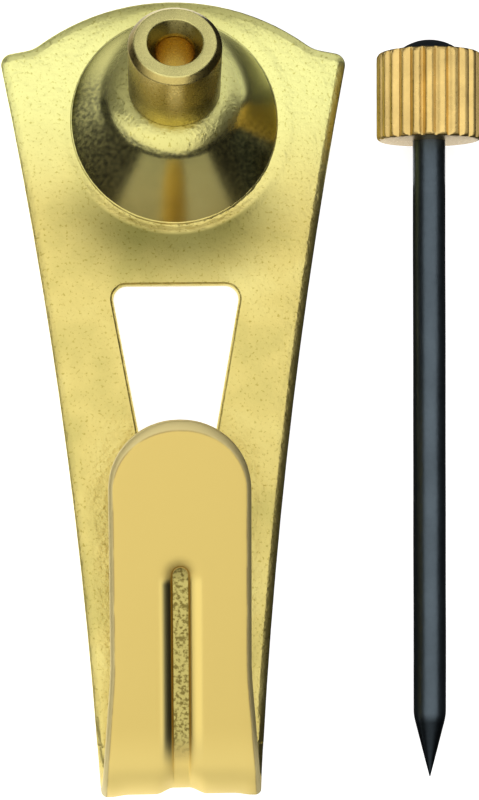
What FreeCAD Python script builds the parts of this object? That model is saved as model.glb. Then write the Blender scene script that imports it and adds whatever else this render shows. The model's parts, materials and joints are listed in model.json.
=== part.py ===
import FreeCAD
import Part
import Sketcher
import math
import os
import re

# A nail-on picture hook: a stamped and folded steel hook plate, the turned brass guide
# riveted into its dome, and the hardened nail with its knurled brass collar, which lies
# beside the hook. The back of the plate is the plane Z = 0, +Y points up the wall, +Z out
# of it, and the origin is the point where the guide's axis meets the wall.

# Driving dimensions, in millimetres and degrees.
SIZES = (
    ("sheet_thickness", 1.2, "steel sheet of the hook plate"),
    ("edge_break", 0.3, "broken edges of the sheet"),
    ("crown_margin", 1.12, "sheet left above the dome"),
    ("crown_radius", 14.6, "top edge of the plate"),
    ("ear_width", 22.3, "width over the ears, to their sharp corners"),
    ("ear_reach", 2.2, "ears beyond the crown, each side"),
    ("neck_round", 2.0, "hollow corner between crown and ear"),
    ("ear_drop", 0.415, "ear corners below the ends of the crown"),
    ("ear_round", 0.75, "outer corner of an ear"),
    ("side_radius", 332.0, "hollow curve of the plate's sides"),
    ("bend_line", 39.5, "end of the flat plate, below the origin"),
    ("bend_line_width", 10.46, "plate width where the bend starts"),
    ("bend_inner_radius", 1.7, "inside of the bend"),
    ("tongue_flare", 0.9, "extra tongue width where the bend ends"),
    ("tongue_width", 8.5, "tongue above its waist"),
    ("tongue_length", 21.0, "tongue from the end of the bend to its top"),
    ("tongue_lean", 12.0, "outward lean of the tongue"),
    ("tongue_top_round", 4.2, "corners of the tongue's top"),
    ("waist_height", 5.6, "top of the tongue's tapered base"),
    ("waist_blend", 0.9, "run of the curve between taper and straight sides"),
    ("window_bridge", 3.9, "sheet between the dome and the window"),
    ("window_height", 14.0, "window from top to bottom"),
    ("window_top_width", 8.3, "window at its top"),
    ("window_bottom_width", 3.2, "window at its bottom"),
    ("window_round", 0.85, "corners of the window"),
    ("bead_run", 11.8, "stiffening bead on the tongue, above the bend"),
    ("bead_back_run", 3.0, "stiffening bead on the plate, above the bend"),
    ("bead_width", 3.0, "mouth of the pressed bead"),
    ("bead_floor", 0.95, "flat floor of the bead"),
    ("bead_depth", 0.4, "depth of the bead"),
    ("bead_spread", 0.22, "how much wider the bead is inside, each side"),
    ("guide_tilt", 23.0, "guide axis above square to the wall"),
    ("seat_margin", 1.12, "seat around the guide"),
    ("seat_rise", 1.0, "lowest edge of the seat above the sheet"),
    ("dome_skirt", 2.63, "run of the dome's flank around the seat"),
    ("dome_wall", 1.1, "dome wall under the seat"),
    ("shoulder_round", 1.75, "rounded shoulder of the dome"),
    ("cavity_foot_inset", 0.3, "hollow of the dome inside its foot"),
    ("cavity_seat_inset", 0.55, "hollow of the dome inside its seat"),
    ("guide_diameter", 5.75, "turned guide"),
    ("guide_length", 4.75, "guide in front of its seat"),
    ("guide_chamfer", 0.38, "outer rim of the guide"),
    ("mouth_diameter", 3.45, "mouth of the guide"),
    ("mouth_depth", 1.0, "tapered lead-in of the guide"),
    ("guide_clearance", 0.25, "guide bore over the nail"),
    ("spigot_wall", 1.05, "riveted end around the bore"),
    ("flare_lip", 0.5, "riveted flare outside its hole"),
    ("flare_thickness", 0.35, "riveted flare"),
    ("fit_clearance", 0.02, "play of the riveted and pressed fits"),
    ("nail_diameter", 2.05, "nail shank"),
    ("nail_length", 40.15, "nail below its collar"),
    ("point_length", 3.9, "tapered point"),
    ("head_diameter", 4.2, "steel head above the collar"),
    ("head_height", 0.85, "steel head above the collar"),
    ("collar_diameter", 6.6, "knurled collar over its ridges"),
    ("collar_length", 5.5, "knurled collar"),
    ("collar_chamfer", 0.35, "both ends of the collar"),
    ("flute_count", 24, "grooves round the collar"),
    ("flute_width", 0.6, "mouth of a groove"),
    ("flute_depth", 0.24, "depth of a groove"),
    ("nail_gap", 1.6, "between the ear and the collar beside it"),
    ("nail_tip_drop", 41.8, "nail tip below the origin"),
    ("nail_turn", 0.38, "turn of the nail's point towards the hook"),
)

# Sizes worked out from the driving dimensions.
BORE_RADIUS = "((nail_diameter + guide_clearance) / 2)"
SPIGOT_RADIUS = f"({BORE_RADIUS} + spigot_wall)"
FLARE_RADIUS = f"({SPIGOT_RADIUS} + fit_clearance + flare_lip)"
SEAT_RADIUS = "(guide_diameter / 2 + seat_margin)"
SEAT_DISTANCE = f"((sheet_thickness + seat_rise + {SEAT_RADIUS} * sin(guide_tilt)) / cos(guide_tilt))"
DOME_RADIUS = f"({SEAT_RADIUS} + dome_skirt)"
CROWN_TOP = f"({DOME_RADIUS} + crown_margin)"
NECK = "(ear_width / 2 - ear_reach)"
WINDOW_TOP = f"({DOME_RADIUS} + window_bridge)"
TONGUE_BASE = "((tongue_width + tongue_flare) / 2)"
TONGUE_TAPER = "(atan(tongue_flare / 2 / waist_height))"
BEND_OUTER = "(sheet_thickness + bend_inner_radius)"
BEND_MIDDLE = "(bend_inner_radius + sheet_thickness / 2)"
BEAD_FLANK = "((bead_width - bead_floor) / 2)"
NAIL_TOP = "(nail_length + collar_length)"
NAIL_REST = "(nail_length + collar_chamfer - point_length)"
NAIL_PITCH = f"atan((collar_diameter - nail_diameter) / 2 / {NAIL_REST})"

SHARP_ANGLE = 45
CORNER_ANGLE = 10
NEAR = 0.001
OVERLAP = 0.1
BEAD_END_BOW = 1.05
X_AXIS = FreeCAD.Vector(1, 0, 0)
Z_AXIS = FreeCAD.Vector(0, 0, 1)

doc = FreeCAD.newDocument("picture_hook")
sheet = doc.addObject("Spreadsheet::Sheet", "dims")


def fill_sheet():
    for row, (name, value, note) in enumerate(SIZES, start=1):
        sheet.set(f"A{row}", name)
        sheet.set(f"B{row}", str(value))
        sheet.set(f"C{row}", note)
        sheet.setAlias(f"B{row}", name)
    doc.recompute()


def on_sheet(formula):
    """A formula on size names, written as an expression on the sheet."""
    names = {name for name, value, note in SIZES}
    return re.sub(r"[a-z_]+", lambda word: f"dims.{word[0]}" if word[0] in names else word[0], formula)


def number(formula):
    return float(sheet.evalExpression(on_sheet(formula)))


def drive(thing, **formulas):
    """Bind properties to formulas; a double underscore stands for a dot."""
    for name, formula in formulas.items():
        thing.setExpression(name.replace("__", "."), on_sheet(formula))


def new_body(label):
    body = doc.addObject("PartDesign::Body", label)
    body.Label = label
    return body


def tilt_body(body, x, y, z, angle, turn="0"):
    """Place a body at (x, y, z), tilted about the x axis and then turned about the z axis."""
    base = f"create(<<vector>>; {x}; {y}; {z})"
    rotation = f"create(<<rotation>>; {turn}; 0; {angle})"
    drive(body, Placement=f"create(<<placement>>; {base}; {rotation})")
    doc.recompute()


def new_sketch(body, name, role, shift=("0", "0", "0"), angle=None, axis=X_AXIS):
    """A sketch on an origin plane, moved along that plane's axes and turned about one of them."""
    sketch = body.newObject("Sketcher::SketchObject", name)
    plane = next(item for item in body.Origin.OriginFeatures if item.Role == role)
    sketch.AttachmentSupport = [(plane, "")]
    sketch.MapMode = "FlatFace"
    if angle:
        sketch.AttachmentOffset = FreeCAD.Placement(FreeCAD.Vector(), FreeCAD.Rotation(axis, 1))
        drive(sketch, AttachmentOffset__Rotation__Angle=angle)
    for name_of_axis, formula in zip("xyz", shift):
        drive(sketch, **{f"AttachmentOffset__Base__{name_of_axis}": formula})
    doc.recompute()
    return sketch


def dimension(sketch, kind, *where, to):
    index = sketch.addConstraint(Sketcher.Constraint(kind, *where, number(to)))
    sketch.setExpression(f"Constraints[{index}]", on_sheet(to))


def place_point(sketch, piece, end, x, y):
    """Hold one end of a line or arc at (x, y); a plain zero puts it on the axis."""
    for kind, axis, formula in (("DistanceX", -2, x), ("DistanceY", -1, y)):
        if formula == "0":
            sketch.addConstraint(Sketcher.Constraint("PointOnObject", piece, end, axis))
        else:
            dimension(sketch, kind, piece, end, to=formula)


def end_at(sketch, piece, point):
    """Which end of a line or arc lies at a point."""
    return min((1, 2), key=lambda end: sketch.getPoint(piece, end).distanceToPoint(point))


def bulge(start, finish, radius, side):
    """Middle of the arc from start to finish; side +1 is to the right of the way there."""
    chord = finish - start
    sagitta = radius - math.sqrt(radius * radius - chord.Length * chord.Length / 4)
    across = FreeCAD.Vector(chord.y, -chord.x, 0).normalize()
    return (start + finish) * 0.5 + across * sagitta * side


def outline(sketch, corners):
    """A closed chain through corners (x, y), with an arc to the next one after (x, y, radius, side)."""
    points = [FreeCAD.Vector(number(corner[0]), number(corner[1]), 0) for corner in corners]
    following = points[1:] + points[:1]
    pieces = []
    for corner, start, finish in zip(corners, points, following):
        edge = Part.LineSegment(start, finish)
        if len(corner) > 2:
            edge = Part.Arc(start, bulge(start, finish, number(corner[2]), corner[3]), finish)
        pieces.append(sketch.addGeometry(edge))
    for piece, after, point in zip(pieces, pieces[1:] + pieces[:1], following):
        ends = (end_at(sketch, piece, point), end_at(sketch, after, point))
        sketch.addConstraint(Sketcher.Constraint("Coincident", piece, ends[0], after, ends[1]))
    for piece, corner, point in zip(pieces, corners, points):
        place_point(sketch, piece, end_at(sketch, piece, point), corner[0], corner[1])
        if len(corner) > 2:
            dimension(sketch, "Radius", piece, to=corner[2])
    doc.recompute()


def circle(sketch, radius, x="0", y="0"):
    centre = FreeCAD.Vector(number(x), number(y), 0)
    piece = sketch.addGeometry(Part.Circle(centre, Z_AXIS, number(radius)))
    dimension(sketch, "Radius", piece, to=radius)
    place_point(sketch, piece, 3, x, y)
    doc.recompute()


def trapezoid(sketch, half_low, low, half_high, high):
    outline(sketch, [
        (f"-{half_low}", low),
        (half_low, low),
        (half_high, high),
        (f"-{half_high}", high),
    ])


def finish_feature(made, before, cuts):
    """Recompute a feature, which has to add material or, as a cut, to take some away."""
    doc.recompute()
    change = made.Shape.Volume - before
    if change == 0 or (change < 0) != cuts:
        raise RuntimeError(f"{made.Name} changed the volume by {change}")
    return made


def volume_of(body):
    return body.Tip.Shape.Volume if body.Tip else 0


def extrude(body, kind, name, profile, length, reverse=False):
    before = volume_of(body)
    made = body.newObject(f"PartDesign::{kind}", name)
    made.Profile = profile
    made.Reversed = reverse
    drive(made, Length=length)
    return finish_feature(made, before, kind == "Pocket")


def revolve(body, kind, name, profile, axis="V_Axis", angle="360", reverse=False):
    before = volume_of(body)
    made = body.newObject(f"PartDesign::{kind}", name)
    made.Profile = profile
    made.ReferenceAxis = (profile, [axis])
    made.Reversed = reverse
    drive(made, Angle=angle)
    return finish_feature(made, before, kind == "Groove")


def loft(body, kind, name, start, finish):
    before = volume_of(body)
    made = body.newObject(f"PartDesign::{kind}", name)
    made.Profile = start
    made.Sections = [(finish, [""])]
    made.Ruled = True
    return finish_feature(made, before, kind == "SubtractiveLoft")


def face_angle(shape, edge):
    """Angle in degrees between the normals of the two faces that meet at an edge."""
    faces = shape.ancestorsOfType(edge, Part.Face)
    if len(faces) != 2:
        return 0
    middle = edge.valueAt((edge.FirstParameter + edge.LastParameter) / 2)
    normals = [face.normalAt(*face.Surface.parameter(middle)) for face in faces]
    return math.degrees(normals[0].getAngle(normals[1]))


def dress_edges(body, kind, name, test, **size):
    """Round or chamfer the edges of a body's last shape that pass a test."""
    base = body.Tip
    chosen = [f"Edge{i}" for i, edge in enumerate(base.Shape.Edges, start=1) if test(base.Shape, edge)]
    made = body.newObject(f"PartDesign::{kind}", name)
    made.Base = (base, chosen)
    drive(made, **size)
    doc.recompute()


def fillet(body, name, radius, test):
    dress_edges(body, "Fillet", name, test, Radius=radius)


def break_edges(body, name, test):
    """Break sharp edges of the sheet, by no more than its thickness allows."""
    dress_edges(body, "Chamfer", name, test, Size="min(edge_break; 0.4 * sheet_thickness)")


def corner_test(half_width):
    """Corners of the sheet's outline at a distance from the middle line."""
    thickness = number("sheet_thickness")
    distance = number(half_width)

    def test(shape, edge):
        across = abs(edge.Length - thickness) < NEAR
        placed = abs(abs(edge.CenterOfMass.x) - distance) < NEAR
        return across and placed and face_angle(shape, edge) > CORNER_ANGLE

    return test


def sharp_edge(shape, edge):
    return face_angle(shape, edge) > SHARP_ANGLE


def make_blank(body):
    """The flat plate from the bend line up to the ears and the crown."""
    sketch = new_sketch(body, "blank_outline", "XY_Plane")
    neck_y = f"({CROWN_TOP} - crown_radius + sqrt(pow(crown_radius; 2) - pow({NECK}; 2)))"
    ear_y = f"({neck_y} - ear_drop)"
    outline(sketch, [
        ("-bend_line_width / 2", "-bend_line"),
        ("bend_line_width / 2", "-bend_line", "side_radius", -1),
        ("ear_width / 2", ear_y),
        (NECK, neck_y, "crown_radius", 1),
        (f"-{NECK}", neck_y),
        ("-ear_width / 2", ear_y, "side_radius", -1),
    ])
    extrude(body, "Pad", "blank", sketch, "sheet_thickness")


def bend_sketch(body, name, angle=None):
    """A sketch across the sheet, with its origin on the bend's axis."""
    return new_sketch(body, name, "XZ_Plane", ("0", BEND_OUTER, "bend_line"), angle)


def make_bend(body):
    """The fold at the foot of the plate, narrowing towards the tongue."""
    start = bend_sketch(body, "bend_start")
    finish = bend_sketch(body, "bend_end", "tongue_lean - 180")
    for section, half in ((start, "(bend_line_width / 2)"), (finish, TONGUE_BASE)):
        trapezoid(section, half, f"-{BEND_OUTER}", half, "-bend_inner_radius")
    path = new_sketch(body, "bend_path", "YZ_Plane", ("-bend_line", BEND_OUTER, "0"))
    middle = number(BEND_MIDDLE)
    lean = math.radians(number("tongue_lean"))
    plate_end = FreeCAD.Vector(0, -middle, 0)
    tongue_end = FreeCAD.Vector(-math.sin(lean), math.cos(lean), 0) * middle
    arc = path.addGeometry(Part.Arc(plate_end, X_AXIS * -middle, tongue_end))
    first = end_at(path, arc, plate_end)
    path.addConstraint(Sketcher.Constraint("Coincident", arc, 3, -1, 1))
    path.addConstraint(Sketcher.Constraint("PointOnObject", arc, first, -2))
    dimension(path, "Radius", arc, to=BEND_MIDDLE)
    dimension(path, "DistanceX", arc, 3 - first, to=f"-{BEND_MIDDLE} * sin(tongue_lean)")
    doc.recompute()
    before = volume_of(body)
    bend = body.newObject("PartDesign::AdditivePipe", "bend")
    bend.Profile = start
    bend.Spine = (path, ["Edge1"])
    bend.Sections = [(finish, [""])]
    bend.Transformation = "Multisection"
    bend.Mode = "Frenet"
    finish_feature(bend, before, False)


def tongue_sketch(body, name, depth="0"):
    """A sketch on the tongue's front face, or below it, with its origin at the end of the bend."""
    out = f"({BEND_OUTER} - ({depth}))"
    y = f"-bend_line - {out} * sin(tongue_lean)"
    z = f"{BEND_OUTER} + {out} * cos(tongue_lean)"
    return new_sketch(body, name, "XY_Plane", ("0", y, z), "tongue_lean")


def make_tongue(body):
    """The upturned tongue with its tapered base and round top."""
    sketch = tongue_sketch(body, "tongue_outline")
    blend_x = f"(tongue_width / 2 + waist_blend * sin({TONGUE_TAPER}))"
    blend_low = f"(waist_height - waist_blend * cos({TONGUE_TAPER}))"
    blend_high = "(waist_height + waist_blend)"
    blend_radius = f"(waist_blend / tan({TONGUE_TAPER} / 2))"
    outline(sketch, [
        (f"-{TONGUE_BASE}", "0"),
        (TONGUE_BASE, "0"),
        (blend_x, blend_low, blend_radius, -1),
        ("tongue_width / 2", blend_high),
        ("tongue_width / 2", "tongue_length"),
        ("-tongue_width / 2", "tongue_length"),
        ("-tongue_width / 2", blend_high, blend_radius, -1),
        (f"-{blend_x}", blend_low),
    ])
    extrude(body, "Pad", "tongue", sketch, "sheet_thickness", reverse=True)


def round_sheet(body):
    """Round the outline's corners, then break every edge between the sheet's faces and its rim."""
    fillet(body, "ear_corners", "ear_round", corner_test("ear_width / 2"))
    fillet(body, "neck_corners", "neck_round", corner_test(NECK))
    top_round = "min(tongue_top_round; 0.49 * tongue_width)"
    fillet(body, "tongue_top", top_round, corner_test("tongue_width / 2"))
    break_edges(body, "sheet_edges", sharp_edge)


def make_window(body):
    """The tapered window behind the tongue, with round corners and broken edges."""
    sketch = new_sketch(body, "window_outline", "XY_Plane", ("0", "0", "sheet_thickness"))
    low = f"(-{WINDOW_TOP} - window_height)"
    trapezoid(sketch, "(window_bottom_width / 2)", low, "(window_top_width / 2)", f"(-{WINDOW_TOP})")
    extrude(body, "Pocket", "window", sketch, "2 * sheet_thickness")
    high_y = -number(WINDOW_TOP) + OVERLAP
    low_y = number(low) - OVERLAP
    reach = number("window_top_width / 2") + OVERLAP
    top = number("sheet_thickness") + OVERLAP

    def in_window(shape, edge):
        box = edge.BoundBox
        inside = low_y < box.YMin and box.YMax < high_y and -reach < box.XMin and box.XMax < reach
        return inside and box.ZMax < top and sharp_edge(shape, edge)

    def window_corner(shape, edge):
        return in_window(shape, edge) and edge.BoundBox.ZLength > NEAR

    fillet(body, "window_corners", "window_round", window_corner)
    break_edges(body, "window_edges", in_window)


def seat_sketch(body, name, depth="0"):
    """A sketch on the dome's tilted seat, or below it, centred on the guide's axis."""
    along = f"({SEAT_DISTANCE} - {depth})"
    shift = ("0", f"{along} * sin(guide_tilt)", f"{along} * cos(guide_tilt)")
    return new_sketch(body, name, "XY_Plane", shift, "-guide_tilt")


def make_dome(body):
    """The drawn dome with its tilted seat, hollow behind, and the hole for the guide."""
    foot = new_sketch(body, "dome_foot", "XY_Plane", ("0", "0", "sheet_thickness"))
    circle(foot, DOME_RADIUS)
    seat = seat_sketch(body, "dome_seat")
    circle(seat, SEAT_RADIUS)
    loft(body, "AdditiveLoft", "dome", foot, seat)
    tilt = math.radians(number("guide_tilt"))
    axis = FreeCAD.Vector(0, math.sin(tilt), math.cos(tilt))
    height = number(SEAT_DISTANCE)

    def on_shoulder(shape, edge):
        return all(abs(point.dot(axis) - height) < NEAR for point in edge.discretize(5))

    fillet(body, "dome_shoulder", "shoulder_round", on_shoulder)
    hollow_foot = new_sketch(body, "hollow_foot", "XY_Plane")
    circle(hollow_foot, f"({DOME_RADIUS} - cavity_foot_inset)")
    hollow_seat = seat_sketch(body, "hollow_seat", "dome_wall")
    circle(hollow_seat, f"({SEAT_RADIUS} - cavity_seat_inset)")
    loft(body, "SubtractiveLoft", "hollow", hollow_foot, hollow_seat)
    hole = seat_sketch(body, "guide_hole_outline")
    circle(hole, f"({SPIGOT_RADIUS} + fit_clearance)")
    extrude(body, "Pocket", "guide_hole", hole, "2 * dome_wall")


def bead_half(depth, spread):
    """Half the bead's width at a depth below the face it is pressed from."""
    return f"(bead_floor / 2 + {spread} + {BEAD_FLANK} * (1 - ({depth}) / bead_depth))"


def bead_outline(sketch, half, run):
    """The bead's plan at one depth: straight sides from inside the bend to a bowed end."""
    outline(sketch, [
        (f"-{half}", f"-{BEAD_FLANK}"),
        (half, f"-{BEAD_FLANK}"),
        (half, run, f"({half} * {BEAD_END_BOW})", 1),
        (f"-{half}", run),
    ])


def make_bead(body, name, cuts, surface, spread):
    """One side of the pressed bead, run along the tongue, the bend and the foot of the plate.

    The bead starts a little off its surface, on the side it is pressed from, and ends at its depth.
    """
    lofted, turned = ("SubtractiveLoft", "Groove") if cuts else ("AdditiveLoft", "Revolution")
    depths = (f"-{OVERLAP}", "bead_depth")
    halves = [bead_half(depth, spread) for depth in depths]
    radii = [f"({BEND_OUTER} - {surface} - ({depth}))" for depth in depths]
    bend = bend_sketch(body, f"{name}_bend_section")
    trapezoid(bend, halves[0], f"-{radii[0]}", halves[1], f"-{radii[1]}")
    revolve(body, turned, f"{name}_bend", bend, "H_Axis", "180 - tongue_lean", reverse=True)
    on_tongue = []
    on_plate = []
    for level, depth, half in zip(("face", "floor"), depths, halves):
        tongue = tongue_sketch(body, f"{name}_tongue_{level}", f"{surface} + {depth}")
        bead_outline(tongue, half, "bead_run")
        on_tongue.append(tongue)
        shift = ("0", "-bend_line", f"{surface} + {depth}")
        plate = new_sketch(body, f"{name}_plate_{level}", "XY_Plane", shift)
        bead_outline(plate, half, "bead_back_run")
        on_plate.append(plate)
    loft(body, lofted, f"{name}_tongue", *on_tongue)
    loft(body, lofted, f"{name}_plate", *on_plate)


def make_hook_plate():
    body = new_body("hook_plate")
    make_blank(body)
    make_bend(body)
    make_tongue(body)
    round_sheet(body)
    make_window(body)
    make_dome(body)
    make_bead(body, "rib", False, "sheet_thickness", "bead_spread")
    make_bead(body, "groove", True, "0", "0")
    return body


def make_guide_bushing():
    """The turned guide: a tapered mouth, a chamfered rim and a spigot flared behind its hole."""
    body = new_body("guide_bushing")
    sketch = new_sketch(body, "guide_section", "XZ_Plane")
    flare_end = "-(dome_wall + flare_thickness)"
    outline(sketch, [
        (BORE_RADIUS, flare_end),
        (FLARE_RADIUS, flare_end),
        (FLARE_RADIUS, "-dome_wall"),
        (SPIGOT_RADIUS, "-dome_wall"),
        (SPIGOT_RADIUS, "0"),
        ("guide_diameter / 2", "0"),
        ("guide_diameter / 2", "guide_length - guide_chamfer"),
        ("guide_diameter / 2 - guide_chamfer", "guide_length"),
        ("mouth_diameter / 2", "guide_length"),
        (BORE_RADIUS, "guide_length - mouth_depth"),
    ])
    revolve(body, "Revolution", "guide", sketch)
    tilt_body(body, "0", f"{SEAT_DISTANCE} * sin(guide_tilt)", f"{SEAT_DISTANCE} * cos(guide_tilt)",
              "-guide_tilt")
    return body


def lay_down(body):
    """Lay the nail or its collar beside the hook, resting on the collar's rim and the end of the shank."""
    x = f"ear_width / 2 + nail_gap + collar_diameter / 2 - {NAIL_TOP} * sin(nail_turn)"
    z = f"nail_diameter / 2 * cos({NAIL_PITCH}) - point_length * sin({NAIL_PITCH})"
    tilt_body(body, x, "-nail_tip_drop", z, f"{NAIL_PITCH} - 90 deg", "-nail_turn")


def make_nail():
    """The nail, from its point up to its domed head."""
    body = new_body("nail")
    sketch = new_sketch(body, "nail_section", "XZ_Plane")
    dome = "((pow(head_diameter / 2; 2) + pow(head_height; 2)) / (2 * head_height))"
    outline(sketch, [
        ("0", "0"),
        ("nail_diameter / 2", "point_length"),
        ("nail_diameter / 2", NAIL_TOP),
        ("head_diameter / 2", NAIL_TOP, dome, 1),
        ("0", f"{NAIL_TOP} + head_height"),
    ])
    revolve(body, "Revolution", "shank", sketch)
    lay_down(body)
    return body


def make_nail_collar():
    """The collar under the nail's head, with straight flutes and chamfered ends.

    A ridge, not a flute, points straight down when the nail lies beside the hook.
    """
    body = new_body("nail_collar")
    sketch = new_sketch(body, "collar_section", "XZ_Plane")
    bore = "(nail_diameter / 2 + fit_clearance)"
    outline(sketch, [
        (bore, "nail_length"),
        ("collar_diameter / 2 - collar_chamfer", "nail_length"),
        ("collar_diameter / 2", "nail_length + collar_chamfer"),
        ("collar_diameter / 2", f"{NAIL_TOP} - collar_chamfer"),
        ("collar_diameter / 2 - collar_chamfer", NAIL_TOP),
        (bore, NAIL_TOP),
    ])
    revolve(body, "Revolution", "collar", sketch)
    half_pitch = "180 / flute_count"
    cutter = new_sketch(body, "flute_outline", "XY_Plane", ("0", "0", "nail_length"), half_pitch, Z_AXIS)
    mouth = f"(collar_diameter / 2 + {OVERLAP})"
    spread = f"(flute_width / 2 * (1 + {OVERLAP} / flute_depth))"
    outline(cutter, [
        (f"-{spread}", mouth),
        ("0", "(collar_diameter / 2 - flute_depth)"),
        (spread, mouth),
    ])
    flute = extrude(body, "Pocket", "flute", cutter, "collar_length", reverse=True)
    before = volume_of(body)
    ring = body.newObject("PartDesign::PolarPattern", "flutes")
    ring.Originals = [flute]
    ring.Axis = (cutter, ["N_Axis"])
    drive(ring, Occurrences="flute_count")
    body.Tip = ring
    finish_feature(ring, before, True)
    lay_down(body)
    return body


def export(bodies):
    """Check every object and write each sub-part in its place."""
    doc.recompute()
    for item in doc.Objects:
        if "Invalid" in item.State or "Error" in item.State:
            raise RuntimeError(f"{item.Name} has not been worked out: {item.State}")
    os.makedirs("parts", exist_ok=True)
    for body in bodies:
        shape = body.Shape
        if shape.isNull() or not shape.isValid() or len(shape.Solids) != 1:
            raise RuntimeError(f"{body.Label} is not one sound solid")
        shape.exportStep(f"parts/{body.Label}.step")


fill_sheet()
export([make_hook_plate(), make_guide_bushing(), make_nail(), make_nail_collar()])
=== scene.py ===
"""Dresses a picture hook and its nail: worn edges, plated, turned and blued finishes, and a pale stage."""

import json
import math

import bmesh
import bpy
from mathutils import Matrix, Vector
from mathutils.geometry import delaunay_2d_cdt
from mathutils.kdtree import KDTree
from mathutils.noise import noise as noise_at


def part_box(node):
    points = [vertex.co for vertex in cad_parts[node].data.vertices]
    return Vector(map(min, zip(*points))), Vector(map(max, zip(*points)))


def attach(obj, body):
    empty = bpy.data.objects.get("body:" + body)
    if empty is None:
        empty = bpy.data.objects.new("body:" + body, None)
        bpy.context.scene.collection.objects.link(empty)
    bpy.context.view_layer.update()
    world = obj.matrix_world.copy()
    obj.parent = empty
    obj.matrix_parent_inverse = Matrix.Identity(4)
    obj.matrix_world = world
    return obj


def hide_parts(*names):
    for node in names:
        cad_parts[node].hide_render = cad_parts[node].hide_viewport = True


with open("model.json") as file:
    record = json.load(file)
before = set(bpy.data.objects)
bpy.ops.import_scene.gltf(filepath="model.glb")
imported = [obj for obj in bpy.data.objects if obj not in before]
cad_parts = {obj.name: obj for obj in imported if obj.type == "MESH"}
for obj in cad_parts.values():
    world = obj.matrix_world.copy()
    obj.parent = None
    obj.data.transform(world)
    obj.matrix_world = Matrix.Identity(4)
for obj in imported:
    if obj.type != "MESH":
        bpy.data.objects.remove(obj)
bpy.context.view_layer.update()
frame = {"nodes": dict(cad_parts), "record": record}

bl_info = {
    "name": "Picture hook finish",
    "version": (1, 0, 0),
    "blender": (4, 5, 0),
    "location": "View3D > Sidebar > Picture hook",
    "description": "Finishes a sheet metal picture hook, its nail guide and its knurled nail",
    "category": "Object",
}

MM = 0.001


def mm(*values):
    return tuple(value * MM for value in values)


def from_edge(edge, *gaps):
    """Places that lie at gaps in millimetres from an edge."""
    return tuple(edge + gap for gap in mm(*gaps))


BODY = "root"
X_AXIS = Vector((1, 0, 0))
Y_AXIS = Vector((0, 1, 0))
Z_AXIS = Vector((0, 0, 1))

# How closely points are matched, and which edges of the solid count as sheared.
MERGE_DISTANCE = 0.001 * MM
CUT_TOLERANCE = 0.0002 * MM
SKIN = 0.004 * MM
FOOT_GAP = 0.02 * MM
SKIN_REACH = 0.5 * MM
RULE_ANGLE = math.radians(2)
RULE_MARGIN = 0.01
SMOOTH_ANGLE = math.radians(32)
EDGE_ANGLE = (math.radians(30), math.radians(62))

# Parts of the plate that are told apart by their place.
WINDOW_HALF = 5.0 * MM
WINDOW_LOW, WINDOW_HIGH = mm(-27, -8.5)
DOME_MARGIN = 0.25 * MM
THROAT_REACH = 2.4 * MM
THROAT_MARGIN = 0.2 * MM
FACE_HALF = 5.4 * MM

# How fine the new faces are laid.
ROLL_LIMIT = 0.985
ROLL_SHARES = (0.02, 0.05, 0.09, 0.15, 0.22, 0.3, 0.4, 0.5, 0.62, 0.75, 0.88, 1.0)
RIM_SHARES = (0.04, 0.1, 0.18, 0.28, 0.4, 0.55, 0.7, 0.84, 0.93, 1.0, 1.07, 1.16, 1.3)
RIM_CLEAR = RIM_SHARES[-1] + 0.15
SWELL_SHARES = (0.02, 0.06, 0.12, 0.2, 0.3, 0.4, 0.5, 0.6, 0.7, 0.8, 0.9, 1.0, 1.15, 1.3)
SWELL_CLEAR = 0.1 * MM
RIM_PITCH = 0.12 * MM
BEAD_PITCH = 0.3 * MM
BEAD_FOLD_PITCH = 0.15 * MM
BEAD_CLEAR = 0.05 * MM
COLUMN_PITCH = 0.3 * MM
FOLD_PITCH = 0.2 * MM
FACE_PITCH = 0.4 * MM
CAP_STEPS = 36
FLANK_STEPS = 8
SHOULDER_STEPS = 20
FOOT_STEPS = 180
ROUND_STEPS = 4
TURN_STEPS = 128
KNURL_STEPS = 288
BEVEL_STEPS = 3

# Wear of the sheet's edges, and the forms that the press left.
RIM_SLOPE = 0.4
GROOVE_WIDTH = 0.04 * MM
FLOOR_LIP = 0.02 * MM
FOLD_BLEND = 2.5 * MM
FOLD_CORNER = 4.4 * MM
FOLD_LOBE = 1.2 * MM
SWELL_LEAST = 0.25

# The nail's point and head, and the unevenness of nail and collar.
TIP_LENGTH, TIP_RADIUS = mm(0.02, 0.03)
POINT_ROUND = 0.35 * MM
HEAD_EDGE, HEAD_LIP, HEAD_ROUND = mm(0.05, 0.04, 0.03)
HEAD_STEP = 0.1
SHANK_PITCH = 1 * MM
COLLAR_PITCH = 0.4 * MM
COLLAR_PLAY = 0.02 * MM
FORGED_SHARE, FORGED_GRAIN = 0.012, 6 * MM
WANDER_SHARE, WANDER_GRAIN = 0.005, 2 * MM
FLUTE_DEPTHS = (0.6, 1.05)
FLUTE_WIDTHS = (0.32, 0.5)
FLUTE_CROWN = 0.25
DEPTH_SEED, WIDTH_SEED = 1, 40
HASH_STEP, HASH_SCALE = 12.9898, 43758.5453

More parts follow.
